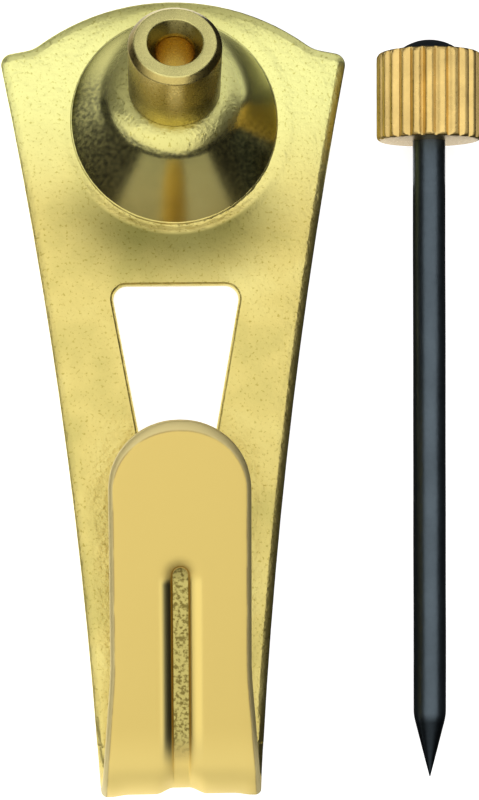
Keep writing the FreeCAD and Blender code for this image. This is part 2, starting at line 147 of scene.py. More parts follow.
# Where each finish, painted highlight, painted shade and painted dark reflection begins and where it is
# complete: by place, by slope or around the dome.
TONGUE_LEVEL = mm(1.9, 2.5)
TONGUE_START = mm(-12, -14)
FOLD_START = mm(-37.5, -40.5)
BEAD_FADE = mm(-40.4, -38.4)
DOME_START = mm(-9, -8)
FLANK_SLOPE = (0.87, 0.75)
SHOULDER_SLOPES = ((0.9, 0.84), (0.735, 0.78))
SHOULDER_START = mm(0, -2)
# Painted shade on the dome's seat behind the guide, strongest on the left.
SHADE_START = mm(-1.5, 2)
SHADE_SIDE = mm(2.5, -2)
# Painted shade on the outer slope of the ring around the dome's lower side.
FOOT_SHADE_INSIDE, FOOT_SHADE_OUTSIDE = mm(7, 7.35), mm(12, 7.4)
FOOT_SHADE_TURN = (0.4, 0.95)
# Painted dark reflection on the dome's sides and in a band under its shoulder.
DARK_BAND_TURN = (0.5, 0.8)
DARK_BAND_START = mm(2.5, -0.5)
DARK_BAND_SLANT = 0.3
# Painted shade along the crown's top edge.
CROWN_SHADE_BAND = mm(4.6, 7.9)
# Painted highlight: the upper plate is laid over with paler, brighter plating where the lights fall off.
UPPER_HIGHLIGHT_BAND = mm(-7, 3)
# Painted shade on the guide: its side, the side's edges, its cone and its bore.
TURNED_SLOPE = (0.95, 0.8)
TURNED_OUTSIDE = mm(2, 2.3)
SIDE_EDGE_SHADE = mm(1, 2.3)
CONE_SHADE = mm(1.75, 1.65)
BORE_SHADE = mm(1.3, 1.2)
TIP_START = mm(-37.6, -38.4)
# Painted shade on the collar's lower end.
COLLAR_SHADE_FACING = (-0.7, -0.95)

# Grain of the finishes, how dark they get, and how rough and dull they are.
WHITE = (1, 1, 1)
NOISE_RANGE = (0.3, 0.7)
BLOTCH_GRAIN, PATCH_GRAIN, DENT_GRAIN, PEBBLE_GRAIN = mm(4, 2, 0.9, 0.25)
FINE_GRAIN, FINE_SPECKS = 0.2 * MM, [(0.3, (0.70, 0.67, 0.48)), (0.42, WHITE)]
COARSE_GRAIN, COARSE_SPECKS = 0.22 * MM, [(0.38, (0.4, 0.37, 0.3)), (0.55, WHITE)]
PATCH_RANGE = (0.3, 0.6)
STREAK_STRETCH, STREAK_GRAIN = (1, 1, 0.12), 0.25 * MM
STREAK_RANGE, STREAK_STRENGTH = (0.35, 0.65), (0.35, 1.15)
RIM_RANGE = (0.0, 0.1)
DENT_SHARE, SMOOTH_SHARE = 1.6, 0.03
PEBBLE_DEPTH = 0.03 * MM
PLATED_ROUGHNESS, SATIN_ROUGHNESS = (0.32, 0.22), 0.26
SATIN_DULLNESS, FOLD_DULLNESS = 0.1, 0.55
SIDE_SHADOW, TIP_SHADE, COLLAR_SHADE = 0.35, 0.25, 0.72

# Each bare metal: the grain and share of its blotches, then its fine grain, roughness and depth of grain.
TURNED_MOTTLE, TURNED_POLISH = (2 * MM, 0.8), (0.15 * MM, (0.24, 0.36), 0.006 * MM)
BLUED_MOTTLE, BLUED_POLISH = (3 * MM, 0.78), (0.2 * MM, (0.32, 0.42), 0.008 * MM)
KNURLED_MOTTLE, KNURLED_POLISH = (2 * MM, 0.75), (0.15 * MM, (0.26, 0.4), 0.006 * MM)

# The stage. A card has a name, its middle, its sides and its glow. A light has a name, its place,
# what it points at, its two sides and its brightness, where 1 is a white wall.
SENSOR_HEIGHT = 36
CLIP = (1 * MM, 10)
PAPER = (0.9, 0.9, 0.9)
PAPER_SHARE, FLOOR_SHARE = 17 / 18, 0.98
PAPER_ROUGHNESS = 0.9
PAPER_GRAIN, FLOOR_GRAIN = mm(2, 200)
FLOOR_LEVEL, CARD_LEVEL, DISC_LEVEL = mm(-0.02, -0.01, -0.005)
FLOOR_GLOW = 0.75
DISC_RADIUS = 5 * MM
DISC_GLOW = 0.5
STUDIO_GLOW = 0.04
CARDS = (
    ("sheet", (-0.014, -0.015, CARD_LEVEL), (0.036, 0.15, 1), 0.75),
    ("collar_card", (0.016, -0.0027, CARD_LEVEL), (0.008, 0.0024, 1), 0.7),
)
LIGHTS = (
    ("overhead", (-0.095, -0.155, 0.40), (-0.095, -0.155, 0), (0.61, 0.79), 1.28),
    ("right", (0.30, -0.05, 0.40), (0.30, -0.05, 0), (0.30, 0.70), 1.3),
    ("left", (-0.50, -0.05, 0.33), (0, 0, 0), (0.6, 0.2), 1.2),
    ("beside", (0.45, -0.05, 0.14), (0, -0.05, 0.14), (0.6, 0.24), 0.6),
    ("front", (0, -0.42, 0.08), (0, 0, 0.08), (0.70, 0.16), 0.42),
    ("back_high", (0, 0.42, 0.36), (0, 0, 0), (0.6, 0.2), 0.9),
    ("back_left", (-0.40, 0.45, 0.14), (-0.40, 0, 0.14), (0.80, 0.28), 0.25),
    ("back_right", (0.40, 0.45, 0.14), (0.40, 0, 0.14), (0.80, 0.28), 0.75),
)
LIT_PIECES = {
    "right": ("INCLUDE", ["nail_finish", "nail_collar_finish"]),
    "beside": ("INCLUDE", ["nail_collar_finish"]),
    "left": ("EXCLUDE", ["nail_finish"]),
}


def size_property(name, description, millimetres):
    return bpy.props.FloatProperty(
        name=name, description=description, subtype="DISTANCE", unit="LENGTH", default=millimetres * MM,
        precision=5)


def colour_property(name, description, colour):
    return bpy.props.FloatVectorProperty(
        name=name, description=description, subtype="COLOR", default=colour, min=0, max=1)


def angle_property(name, description, degrees):
    return bpy.props.FloatProperty(
        name=name, description=description, subtype="ANGLE", default=math.radians(degrees))


class SheetFinish(bpy.types.PropertyGroup):
    """The plated sheet of the hook."""

    # Painted highlight: paler, brighter plating over the upper plate, standing in for light that falls off
    # there.
    crown: colour_property("Crown plating", "Plating around the crown", (0.85, 0.84, 0.33))
    pale: colour_property("Pale plating", "Plating where it is thinnest", (0.75, 0.64, 0.225))
    gold: colour_property("Golden plating", "Plating over most of the sheet", (0.68, 0.56, 0.18))
    olive: colour_property("Olive plating", "Plating that has dulled", (0.56, 0.475, 0.145))
    # Painted dark reflection on the dome's sides and under its shoulder, and painted shade on the bead's
    # left side.
    painted_dark_band: colour_property("Smoke", "Tarnish on the sides of the dome", (0.13, 0.125, 0.06))
    # Painted shade on the outer slope of the ring below the dome, where it faces down.
    painted_foot_shade: colour_property("Smudge", "Burnt plating below the dome", (0.10, 0.10, 0.022))
    # Painted shade: used on the dome's seat behind the guide and along the crown's top edge, where the
    # plate is darker from how the light falls.
    shade: colour_property("Shaded plating", "Dull plating behind the guide", (0.40, 0.37, 0.12))
    tongue: colour_property("Tongue plating", "Plating on the smooth tongue", (0.87, 0.675, 0.212))
    # Painted light: a brighter copy of the tongue's plating over the fold, which turns away from the
    # lights.
    fold: colour_property("Fold plating", "Plating over the fold", (1.0, 0.775, 0.235))
    rim: colour_property("Tongue rim", "Plating on the tongue's rim", (0.74, 0.63, 0.30))
    line: colour_property("Rim line", "Dirt along the inside of the tongue's rim", (0.36, 0.25, 0.11))
    bead: colour_property("Bead", "Plating on the bead's sides", (0.76, 0.585, 0.18))
    bead_edge: colour_property("Bead edge", "Bare line at the foot of the bead's sides", (0.55, 0.33, 0.06))
    floor: colour_property("Bead floor", "Rough plating on the floor of the bead", (0.49, 0.415, 0.13))
    thickness: size_property("Sheet thickness", "Gauge of the sheet", 1.2)
    fold_radius: size_property("Fold radius", "Inner radius of the fold at the foot of the tongue", 1.7)
    tongue_lean: angle_property("Tongue lean", "Lean of the tongue away from the sheet", 12)
    edge_break: size_property("Edge break", "Depth of the broken edges", 0.3)
    edge_round: size_property("Edge round", "Width worn off each side of a sheared edge", 0.11)
    rim_width: size_property("Rim width", "Width of the rounded rim of the plate", 0.5)
    window_rim: size_property("Window rim", "Width of the rounded rim of the window", 0.2)
    tongue_rim: size_property("Tongue rim", "Width of the tongue's rim at its sides", 0.28)
    tongue_top_rim: size_property("Tongue top rim", "Width of the tongue's rim at its top", 0.55)
    tongue_round: size_property("Tongue round", "Radius of the tongue's top", 4.25)
    tongue_groove: size_property("Rim groove", "Depth of the line inside the tongue's rim", 0.012)
    dish: size_property("Dish", "How far the sheet was drawn down below the dome", 0.08)
    dish_width: size_property("Dish width", "How far below the dome the sheet was drawn down", 4.0)
    edge_roll: size_property("Edge roll", "How far the punch dragged the face down at the outline", 0.1)
    edge_roll_width: size_property("Edge roll width", "How far the drag reaches into the face", 1.3)
    foot_radius: size_property("Dome foot radius", "Where the drawn dome leaves the sheet", 6.625)
    seat_radius: size_property("Seat radius", "Radius of the dome's seat before it is rounded", 3.995)
    seat_inner: size_property("Seat hole", "Where the seat disappears under the guide", 2.5)
    shoulder: size_property("Shoulder", "How far the round of the shoulder reaches", 1.35)
    swell: size_property("Foot swell", "Height of the ring pushed up around the dome", 0.11)
    swell_width: size_property("Foot swell width", "Width of the ring around the dome", 1.2)
    bead_end: size_property("Bead end", "From the fold to the middle of the bead's round end", 11.69)
    bead_floor: size_property("Bead floor", "Half the width of the bead's flat floor", 0.475)
    bead_roll: size_property("Bead roll", "Width of the rolled side of the bead", 0.85)
    bead_depth: size_property("Bead depth", "Depth of the bead in the tongue", 0.4)
    fold_bead_depth: size_property("Fold bead depth", "Depth of the bead where it goes over the fold", 0.38)
    fold_bead_roll: size_property("Fold bead roll", "Width of the bead's sides over the fold", 1.1)
    fold_sink: size_property("Fold sink", "How far the fold's middle lies inside its corners", 0.13)


class GuideFinish(bpy.types.PropertyGroup):
    """The turned brass guide."""

    brass: colour_property("Brass", "Turned brass", (0.76, 0.69, 0.27))
    # Painted shade inside the bore: darker, warmer brass.
    inside: colour_property("Inside", "Brass inside the bore", (0.62, 0.42, 0.07))
    # Painted shade: darker brass on the guide's side than on its faced end, from how the light falls.
    side: colour_property("Side", "Brass on the outside of the guide", (0.50, 0.38, 0.11))
    tilt: angle_property("Tilt", "Lean of the bore away from the wall's normal", 23)
    diameter: size_property("Diameter", "Outside of the guide", 5.75)
    bore: size_property("Bore", "Hole for the nail", 2.3)
    mouth: size_property("Mouth", "Wide end of the cone that leads the nail in", 3.45)
    mouth_depth: size_property("Mouth depth", "Depth of the cone", 1.0)
    chamfer: size_property("Chamfer", "Edge taken off around the front", 0.38)
    wear: size_property("Wear", "Round of the turned corners", 0.07)
    front: size_property("Front", "From where the nail comes out to the front face", 8.84)
    seat: size_property("Seat", "From where the nail comes out to the seat on the dome", 4.085)
    spigot: size_property("Spigot", "Diameter of the neck through the dome", 4.4)
    flare: size_property("Flare", "Diameter of the riveted rim inside the dome", 5.44)
    flare_foot: size_property("Flare foot", "Lower face of the riveted rim", 2.64)
    flare_top: size_property("Flare top", "Upper face of the riveted rim", 2.99)


class NailFinish(bpy.types.PropertyGroup):
    """The blued nail and its knurled collar."""

    blued: colour_property("Blued steel", "Hardened and blued steel", (0.088, 0.112, 0.13))
    collar_brass: colour_property("Collar brass", "Knurled brass", (0.80, 0.57, 0.20))
    shank: size_property("Shank", "Diameter of the shank", 2.05)
    point: size_property("Point", "Length of the point", 3.9)
    collar_foot: size_property("Collar foot", "From the point to the collar", 40.15)
    collar_length: size_property("Collar length", "Length of the collar", 5.5)
    collar: size_property("Collar", "Diameter of the collar", 6.6)
    collar_round: size_property("Collar round", "Round of the collar's ends", 0.35)
    head: size_property("Head", "Diameter of the nail's head", 4.2)
    head_height: size_property("Head height", "Height of the nail's head", 0.85)
    flutes: bpy.props.IntProperty(name="Flutes", description="Grooves around the collar", default=24)
    flute_depth: size_property("Flute depth", "Depth of a groove", 0.2)


class StageSetup(bpy.types.PropertyGroup):
    """The floor, the lights and the camera."""

    floor_size: size_property("Floor size", "Side of the floor", 3000)
    floor_colour: colour_property("Floor colour", "Pale floor", (0.92, 0.92, 0.92))
    camera_target: bpy.props.FloatVectorProperty(
        name="Camera target", description="Point in the middle of the picture", subtype="TRANSLATION",
        unit="LENGTH", default=mm(3.955, -17.856, 1.2))
    camera_distance: size_property("Camera distance", "From the target to the camera", 126.8)
    camera_lens: bpy.props.FloatProperty(
        name="Lens", description="Focal length over a 36 mm high sensor", default=90.0)
    camera_tilt: angle_property("Tilt", "Lean of the view towards the tongue", 3.0)
    camera_turn: angle_property("Turn", "Lean of the view towards the left", 2.6)
    camera_roll: angle_property("Roll", "Turn of the picture", 0.674)


def deselect_all():
    if bpy.context.object and bpy.context.object.mode != "OBJECT":
        bpy.ops.object.mode_set(mode="OBJECT")
    bpy.ops.object.select_all(action="DESELECT")


def make_active(piece):
    deselect_all()
    piece.select_set(True)
    bpy.context.view_layer.objects.active = piece


def copy_of_node(node):
    """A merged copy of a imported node, ready to be finished."""
    make_active(frame["nodes"][node])
    bpy.ops.object.duplicate()
    piece = bpy.context.object
    piece.name = node + "_finish"
    piece.data.name = piece.name
    for key in [key for key in piece.keys() if key.startswith("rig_")]:
        del piece[key]
    bpy.ops.object.mode_set(mode="EDIT")
    bpy.ops.mesh.select_all(action="SELECT")
    bpy.ops.mesh.remove_doubles(threshold=MERGE_DISTANCE)
    bpy.ops.object.mode_set(mode="OBJECT")
    return piece


def change_edges(piece, test, change, **settings):
    """Selects the edges that pass the test, and nothing else, and changes them."""
    make_active(piece)
    bpy.ops.object.mode_set(mode="EDIT")
    bpy.ops.mesh.select_all(action="DESELECT")
    bpy.ops.mesh.select_mode(type="EDGE")
    mesh = bmesh.from_edit_mesh(piece.data)
    mesh.normal_update()
    for edge in mesh.edges:
        if test(edge):
            edge.select_set(True)
    mesh.select_flush_mode()
    bmesh.update_edit_mesh(piece.data)
    change(**settings)
    bpy.ops.object.mode_set(mode="OBJECT")


def steps(start, stop, pitch):
    """Evenly spaced places from start to stop, about one pitch apart."""
    count = max(1, round((stop - start) / pitch))
    return [start + (stop - start) * index / count for index in range(count + 1)]


def eased(value):
    """A smooth rise from 0 to 1."""
    value = min(1.0, max(0.0, value))
    return value * value * (3 - 2 * value)


def reshape(piece, rule):
    """Puts each vertex where the rule says."""
    for vertex in piece.data.vertices:
        vertex.co = rule(vertex.co.copy())
    piece.data.update()


class FoldedFace:
    """The outer face of the tongue and the fold, laid out flat from the tongue's foot."""

    def __init__(self, sheet):
        low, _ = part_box("hook_plate")
        self.radius = sheet.fold_radius + sheet.thickness
        self.axis = Vector((0, low.y + self.radius, low.z + self.radius))
        self.out = Vector((0, -math.sin(sheet.tongue_lean), math.cos(sheet.tongue_lean)))
        self.along = Vector((0, math.cos(sheet.tongue_lean), math.sin(sheet.tongue_lean)))
        self.turned_back = self.radius * (math.pi - sheet.tongue_lean)

    def from_axis(self, point):
        return Vector((0, point.y - self.axis.y, point.z - self.axis.z))

    def lay_out(self, point):
        """How far along the face a point lies, and how deep under it."""
        arm = self.from_axis(point)
        if arm.y >= 0 and arm.z < 0:
            return -self.turned_back - arm.y, point.z
        if arm.dot(self.along) >= 0:
            return arm.dot(self.along), self.radius - arm.dot(self.out)
        turned = math.atan2(-arm.dot(self.along), arm.dot(self.out))
        return -self.radius * turned, self.radius - arm.length

    def spot(self, across, along, depth):
        """The point that lies there on the tongue or the fold."""
        side = X_AXIS * across
        if along >= 0:
            return self.axis + side + self.along * along + self.out * (self.radius - depth)
        turned = -along / self.radius
        arm = self.out * math.cos(turned) - self.along * math.sin(turned)
        return self.axis + side + arm * (self.radius - depth)


class Rim:
    """The worn edge around a face: how far a place lies from it, and how far it has dropped there."""

    def __init__(self, sheet, edges):
        """Each edge is its two flat ends, the way into the face, the rim's width and its roll."""
        self.sheet = sheet
        self.spots = []
        for start, stop, inward, width, roll in edges:
            for share in steps(0, 1, RIM_PITCH / max((stop - start).length, RIM_PITCH)):
                place = start.lerp(stop, share)
                self.spots.append((place, inward, width(place), roll))
        self.tree = KDTree(len(self.spots))
        for index, spot in enumerate(self.spots):
            self.tree.insert((*spot[0], 0), index)
        self.tree.balance()

    def places(self):
        return [place + inward * width * share
                for place, inward, width, _ in self.spots for share in RIM_SHARES]

    def nearest(self, place):
        """The closest spot of the edge, and how far away it is."""
        _, index, away = self.tree.find((*place, 0))
        return *self.spots[index], away

    def clear(self, place):
        """Whether a place lies on the face, inside the rim's own rings."""
        edge, inward, width, _, away = self.nearest(place)
        return inward.dot(place - edge) > 0 and away > width * RIM_CLEAR

    def share(self, place):
        """How far a place lies out on the rim, and how close to the rim's inner line."""
        _, _, width, _, away = self.nearest(place)
        return max(0.0, 1 - away / width), math.exp(-((away - width) / GROOVE_WIDTH) ** 2)

    def drop(self, place, worn, groove=0.0):
        """Depth of the edge at a place, from plainly broken to fully worn."""
        _, _, _, roll, away = self.nearest(place)
        share, line = self.share(place)
        depth = self.sheet.edge_break
        plain = depth * max(0.0, 1 - away / depth)
        rounded_off = RIM_SLOPE * share + (1 - RIM_SLOPE) * (1 - math.sqrt(1 - share * share))
        dragged = roll * max(0.0, 1 - away / self.sheet.edge_roll_width) ** 2
        return plain + worn * ((depth - roll) * rounded_off + dragged + groove * line - plain)


def is_enclosed(place, edges):
    """Whether a place lies between the loops that the edges make."""
    enclosed = False
    for start, stop in edges:
        if (start.y > place.y) != (stop.y > place.y):
            crossing = start.x + (stop.x - start.x) * (place.y - start.y) / (stop.y - start.y)
            enclosed = enclosed != (place.x < crossing)
    return enclosed


def lay_skin(plate, taken, flatten, find_rim, inner_places, settle):
    """Takes faces off the sheet and lays a fine new skin over the opening.

    flatten gives a vertex's place on the flat face and its depth, settle gives the point for a place.
    """
    mesh = bmesh.new()
    mesh.from_mesh(plate.data)
    for name in ("rim", "line"):
        if mesh.verts.layers.float.get(name) is None:
            mesh.verts.layers.float.new(name)
    rim_layer, line_layer = mesh.verts.layers.float["rim"], mesh.verts.layers.float["line"]
    mesh.normal_update()
    old = [item for item in mesh.faces if all(taken(vertex.co) for vertex in item.verts)]
    bmesh.ops.delete(mesh, geom=old, context="FACES")
    border = [edge for edge in mesh.edges if edge.is_boundary]
    corners = [vertex for vertex in mesh.verts if vertex.is_boundary]
    number = {vertex: index for index, vertex in enumerate(corners)}
    flat = [flatten(vertex.co) for vertex in corners]
    rim = find_rim([(flat[number[edge.verts[0]]], flat[number[edge.verts[1]]], edge.link_faces[0].normal)
                    for edge in border])
    places = [place for place, _ in flat] + rim.places()
    places += [place for place in inner_places() if rim.clear(place)]
    edges = [(number[edge.verts[0]], number[edge.verts[1]]) for edge in border]
    laid, _, triangles, origins, _, _ = delaunay_2d_cdt(places, edges, [], 1, CUT_TOLERANCE)
    skin = []
    for place, origin in zip(laid, origins):
        kept = [index for index in origin if index < len(corners)]
        vertex = corners[kept[0]] if kept else mesh.verts.new(settle(place, rim))
        vertex[rim_layer], vertex[line_layer] = rim.share(place)
        skin.append(vertex)
    outline = [(places[start], places[stop]) for start, stop in edges]
    for triangle in triangles:
        corner_only = all(skin[index] in number for index in triangle)
        middle = (laid[triangle[0]] + laid[triangle[1]] + laid[triangle[2]]) / 3
        if not corner_only or is_enclosed(middle, outline):
            mesh.faces.new([skin[index] for index in triangle])
    loose = [vertex for vertex in mesh.verts if not vertex.link_faces]
    bmesh.ops.delete(mesh, geom=loose, context="VERTS")
    bmesh.ops.recalc_face_normals(mesh, faces=mesh.faces)
    mesh.to_mesh(plate.data)
    mesh.free()


def grid(columns, rows):
    return [Vector((column, row)) for column in columns for row in rows]


def ring(centre, radius, start, stop, count):
    """Places on an arc, from one angle to another."""
    return [centre + Vector((math.cos(angle), math.sin(angle))) * radius
            for angle in steps(start, stop, (stop - start) / count)]


def bead_sink(sheet, across, along):
    """Depth of the pressed bead at a place on the laid-out face."""
    across = abs(across)
    beyond = max(0.0, along - sheet.bead_end)
    outside = math.hypot(across, beyond) - sheet.bead_floor
    rise = min(1.0, max(0.0, 1 - outside / sheet.bead_roll))
    rolled = sheet.bead_depth * (1 - math.sqrt(1 - min(rise, ROLL_LIMIT) ** 2))
    if outside <= 0:
        rolled = sheet.bead_depth
    soft = sheet.fold_bead_depth * eased(1 - (across - sheet.bead_floor) / sheet.fold_bead_roll)
    over_fold = eased(-along / FOLD_BLEND)
    return rolled * (1 - over_fold) + soft * over_fold


def on_outer_face(sheet, face):
    """Tests whether a point lies on the outer face of the tongue and the fold, or on its rim."""

    def test(point):
        along, depth = face.lay_out(point)
        in_bead = abs(point.x) < THROAT_REACH and depth < sheet.thickness / 2
        return along > -face.turned_back - SKIN and (depth < sheet.edge_break + SKIN or in_bead)

    return test


def bead_places(sheet, low):
    """Places that follow the bead: along its floor and sides, and around its end."""
    floor, roll, end = sheet.bead_floor, sheet.bead_roll, sheet.bead_end
    sides = [floor / 2, floor - FLOOR_LIP, floor] + [floor + roll * share for share in ROLL_SHARES]
    rows = steps(low, 0, BEAD_FOLD_PITCH) + steps(0, end, BEAD_PITCH)[1:]
    places = grid([0] + sides + [-side for side in sides], rows)
    for side in sides:
        places += ring(Vector((0, end)), side, 0, math.pi, CAP_STEPS)
    return places


def renew_outer_face(plate, sheet, face):
    """Lays a fine new outer face on the tongue and the fold, with the bead pressed in and a worn rim."""
    _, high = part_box("hook_plate")
    bead_reach = sheet.bead_floor + sheet.bead_roll + BEAD_CLEAR
    upper = [vertex.co for vertex in plate.data.vertices
             if vertex.co.z > high.z / 2 and vertex.co.y < WINDOW_HIGH]
    laid_out = [face.lay_out(point) for point in upper]
    tongue_top = max(along for along, depth in laid_out if depth < sheet.edge_break + SKIN)

    def flatten(point):
        along, depth = face.lay_out(point)
        return Vector((point.x, along)), depth

    def width(place):
        share = max(0.0, 1 - (tongue_top - place.y) / sheet.tongue_round)
        return sheet.tongue_rim + (sheet.tongue_top_rim - sheet.tongue_rim) * share ** 2

    def find_rim(border):
        edges = []
        for start, stop, normal in border:
            on_tongue = start[0].y > 0 or abs(start[0].x) > THROAT_REACH
            if min(start[1], stop[1]) > sheet.edge_break / 2 and on_tongue:
                rise = normal.dot(face.along) if start[0].y > 0 else 0.0
                edges.append((start[0], stop[0], -Vector((normal.x, rise)).normalized(), width, 0.0))
        return Rim(sheet, edges)

    def inner_places():
        columns = steps(-FACE_HALF, FACE_HALF, COLUMN_PITCH)
        rows = steps(-face.turned_back, 0, FOLD_PITCH) + steps(0, tongue_top, FACE_PITCH)[1:]
        beside = [place for place in grid(columns, rows)
                  if math.hypot(place.x, max(0.0, place.y - sheet.bead_end)) > bead_reach]
        return beside + bead_places(sheet, -face.turned_back)

    def settle(place, rim):
        worn = eased((place.y + face.turned_back) / FOLD_BLEND)
        depth = outer_sink(sheet, face, place.x, place.y) + rim.drop(place, worn, sheet.tongue_groove)
        return face.spot(place.x, place.y, depth)

    lay_skin(plate, on_outer_face(sheet, face), flatten, find_rim, inner_places, settle)


def outer_sink(sheet, face, across, along):
    """Depth of the outer face at a place: the bead, and the fold's middle drawn in between its corners."""
    bent = eased(-along / FOLD_BLEND) * eased((along + face.turned_back) / FOLD_BLEND)
    middle = sheet.fold_sink * bent * eased((FOLD_CORNER - abs(across)) / FOLD_LOBE)
    return bead_sink(sheet, across, along) + middle


def on_front_face(sheet, face):
    """Tests whether a point lies on the front of the plate, outside the dome, or on its rim."""
    top = sheet.thickness

    def test(point):
        outside = math.hypot(point.x, point.y) > sheet.foot_radius - FOOT_GAP
        on_level = top - sheet.edge_break - SKIN < point.z < top + SKIN
        return on_level and outside and point.y > face.axis.y - SKIN

    return test


def round_edges(plate, sheet, face):
    """Wears the sheared edges round, apart from those of the faces that are laid anew."""
    outer, front = on_outer_face(sheet, face), on_front_face(sheet, face)

    def sheared(edge):
        if len(edge.link_faces) != 2:
            return False
        ends = [vertex.co for vertex in edge.verts]
        if all(outer(end) for end in ends) or all(front(end) for end in ends):
            return False
        middle = (ends[0] + ends[1]) / 2
        in_dome = math.hypot(middle.x, middle.y) < sheet.foot_radius + DOME_MARGIN
        in_throat = abs(middle.x) < THROAT_REACH and middle.y < WINDOW_LOW + THROAT_MARGIN
        return EDGE_ANGLE[0] < edge.calc_face_angle() < EDGE_ANGLE[1] and not in_dome and not in_throat

    change_edges(plate, sheared, bpy.ops.mesh.bevel, offset=sheet.edge_round, segments=BEVEL_STEPS,
                 affect="EDGES", clamp_overlap=False)


def in_window(place):
    return abs(place.x) < WINDOW_HALF and WINDOW_LOW < place.y < WINDOW_HIGH


def swell(sheet, place):
    """Height of the ring pushed up around the dome, less the hollow drawn down below it."""
    reach = place.length
    beyond = max(0.0, reach - sheet.foot_radius)
    share = min(1.0, beyond / sheet.swell_width)
    below = max(0.0, -place.y / reach) ** 2
    raised = sheet.swell * math.sin(math.pi * share) ** 2 * (SWELL_LEAST + (1 - SWELL_LEAST) * below)
    return raised - sheet.dish * below * max(0.0, 1 - beyond / sheet.dish_width) ** 2


def renew_front_face(plate, sheet, face):
    """Lays a fine new front on the plate, with a swollen ring around the dome and worn rims."""
    low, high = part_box("hook_plate")
    top, foot = sheet.thickness, sheet.foot_radius

    def flatten(point):
        return point.xy.copy(), top - point.z

    def find_rim(border):
        edges = []
        for start, stop, normal in border:
            if min(start[1], stop[1]) > sheet.edge_break / 2:
                inside = in_window(start[0])
                width = sheet.window_rim if inside else sheet.rim_width
                roll = 0.0 if inside else sheet.edge_roll
                inward = -normal.xy.normalized()
                edges.append((start[0], stop[0], inward, lambda place, width=width: width, roll))
        return Rim(sheet, edges)

    def inner_places():
        columns = steps(low.x, high.x, FACE_PITCH)
        rows = steps(face.axis.y, high.y, FACE_PITCH)
        reach = foot + sheet.swell_width * SWELL_SHARES[-1]
        places = [place for place in grid(columns, rows) if place.length > reach + SWELL_CLEAR]
        for share in SWELL_SHARES:
            places += ring(Vector((0, 0)), foot + sheet.swell_width * share, 0, 2 * math.pi, FOOT_STEPS)
        return places

    def settle(place, rim):
        worn = eased((place.y - face.axis.y) / FOLD_BLEND)
        return Vector((place.x, place.y, top + swell(sheet, place) - rim.drop(place, worn)))

    lay_skin(plate, on_front_face(sheet, face), flatten, find_rim, inner_places, settle)


def guide_axis(guide):
    """The way the guide's bore points."""
    return Vector((0, math.sin(guide.tilt), math.cos(guide.tilt)))


class Dome:
    """The outside of the drawn dome, from its foot over its shoulder to its tilted seat."""

    def __init__(self, sheet, guide):
        self.sheet = sheet
        self.axis = guide_axis(guide)
        self.middle = self.axis * guide.seat
        self.up = X_AXIS.cross(self.axis) * -1

    def foot_point(self, angle):
        foot = Vector((math.cos(angle), math.sin(angle), 0)) * self.sheet.foot_radius
        return foot + Z_AXIS * self.sheet.thickness

    def seat_point(self, angle, radius):
        return self.middle + (X_AXIS * math.cos(angle) + self.up * math.sin(angle)) * radius

    def profile(self, angle):
        """Points from the foot to the seat at one angle around the dome."""
        sheet = self.sheet
        foot = self.foot_point(angle)
        corner = self.seat_point(angle, sheet.seat_radius)
        inner = self.seat_point(angle, sheet.seat_inner)
        start = corner + (foot - corner).normalized() * sheet.shoulder
        stop = corner + (inner - corner).normalized() * sheet.shoulder
        flank = [foot.lerp(start, share) for share in steps(0, 1, 1 / FLANK_STEPS)]
        round_off = [start.lerp(corner, share).lerp(corner.lerp(stop, share), share)
                     for share in steps(0, 1, 1 / SHOULDER_STEPS)]
        return flank[1:] + round_off[1:] + [inner]

    def holds(self, point):
        """Whether a point lies on the dome's outside, from its foot to the hole in its seat."""
        reach = math.hypot(point.x, point.y)
        if point.z < self.sheet.thickness - SKIN or reach > self.sheet.foot_radius + FOOT_GAP:
            return False
        return self.near_skin(point)

    def near_skin(self, point):
        """Compares a point with the ruled side and the seat that the dome was made from."""
        below_seat = (self.middle - point).dot(self.axis)
        arm = point - self.middle + self.axis * below_seat
        if below_seat < SKIN_REACH and arm.length < self.sheet.seat_radius + SKIN:
            return True
        level = point.z - self.sheet.thickness
        best = SKIN_REACH
        for angle in steps(-math.pi, math.pi, RULE_ANGLE):
            foot = self.foot_point(angle)
            corner = self.seat_point(angle, self.sheet.seat_radius)
            share = level / (corner.z - foot.z)
            if -RULE_MARGIN <= share <= 1 + RULE_MARGIN:
                best = min(best, (foot.lerp(corner, share) - point).length)
        return best < SKIN_REACH


def renew_dome(plate, sheet, guide):
    """Lays a smooth new outside on the drawn dome."""
    dome = Dome(sheet, guide)
    mesh = bmesh.new()
    mesh.from_mesh(plate.data)
    kept = {vertex: dome.holds(vertex.co) for vertex in mesh.verts if vertex.co.z > sheet.thickness - SKIN}
    old = [item for item in mesh.faces if all(kept.get(vertex, False) for vertex in item.verts)]
    bmesh.ops.delete(mesh, geom=old, context="FACES")
    border = [edge for edge in mesh.edges if edge.is_boundary]

    def at_foot(vertex):
        return abs(math.hypot(vertex.co.x, vertex.co.y) - sheet.foot_radius) < FOOT_GAP

    foot = sorted((vertex for vertex in mesh.verts if vertex.is_boundary and at_foot(vertex)),
                  key=lambda vertex: math.atan2(vertex.co.y, vertex.co.x))
    hole = [edge for edge in border
            if all((vertex.co - dome.middle).length < sheet.seat_inner for vertex in edge.verts)]
    columns = []
    for vertex in foot:
        angle = math.atan2(vertex.co.y, vertex.co.x)
        columns.append([vertex] + [mesh.verts.new(point) for point in dome.profile(angle)])
    for column, following in zip(columns, columns[1:] + columns[:1]):
        for row in range(len(column) - 1):
            mesh.faces.new((column[row], following[row], following[row + 1], column[row + 1]))
    last = [column[-1] for column in columns]
    inner = [mesh.edges.get((first, second)) for first, second in zip(last, last[1:] + last[:1])]
    bmesh.ops.bridge_loops(mesh, edges=hole + inner)
    bmesh.ops.recalc_face_normals(mesh, faces=mesh.faces)
    mesh.to_mesh(plate.data)
    mesh.free()


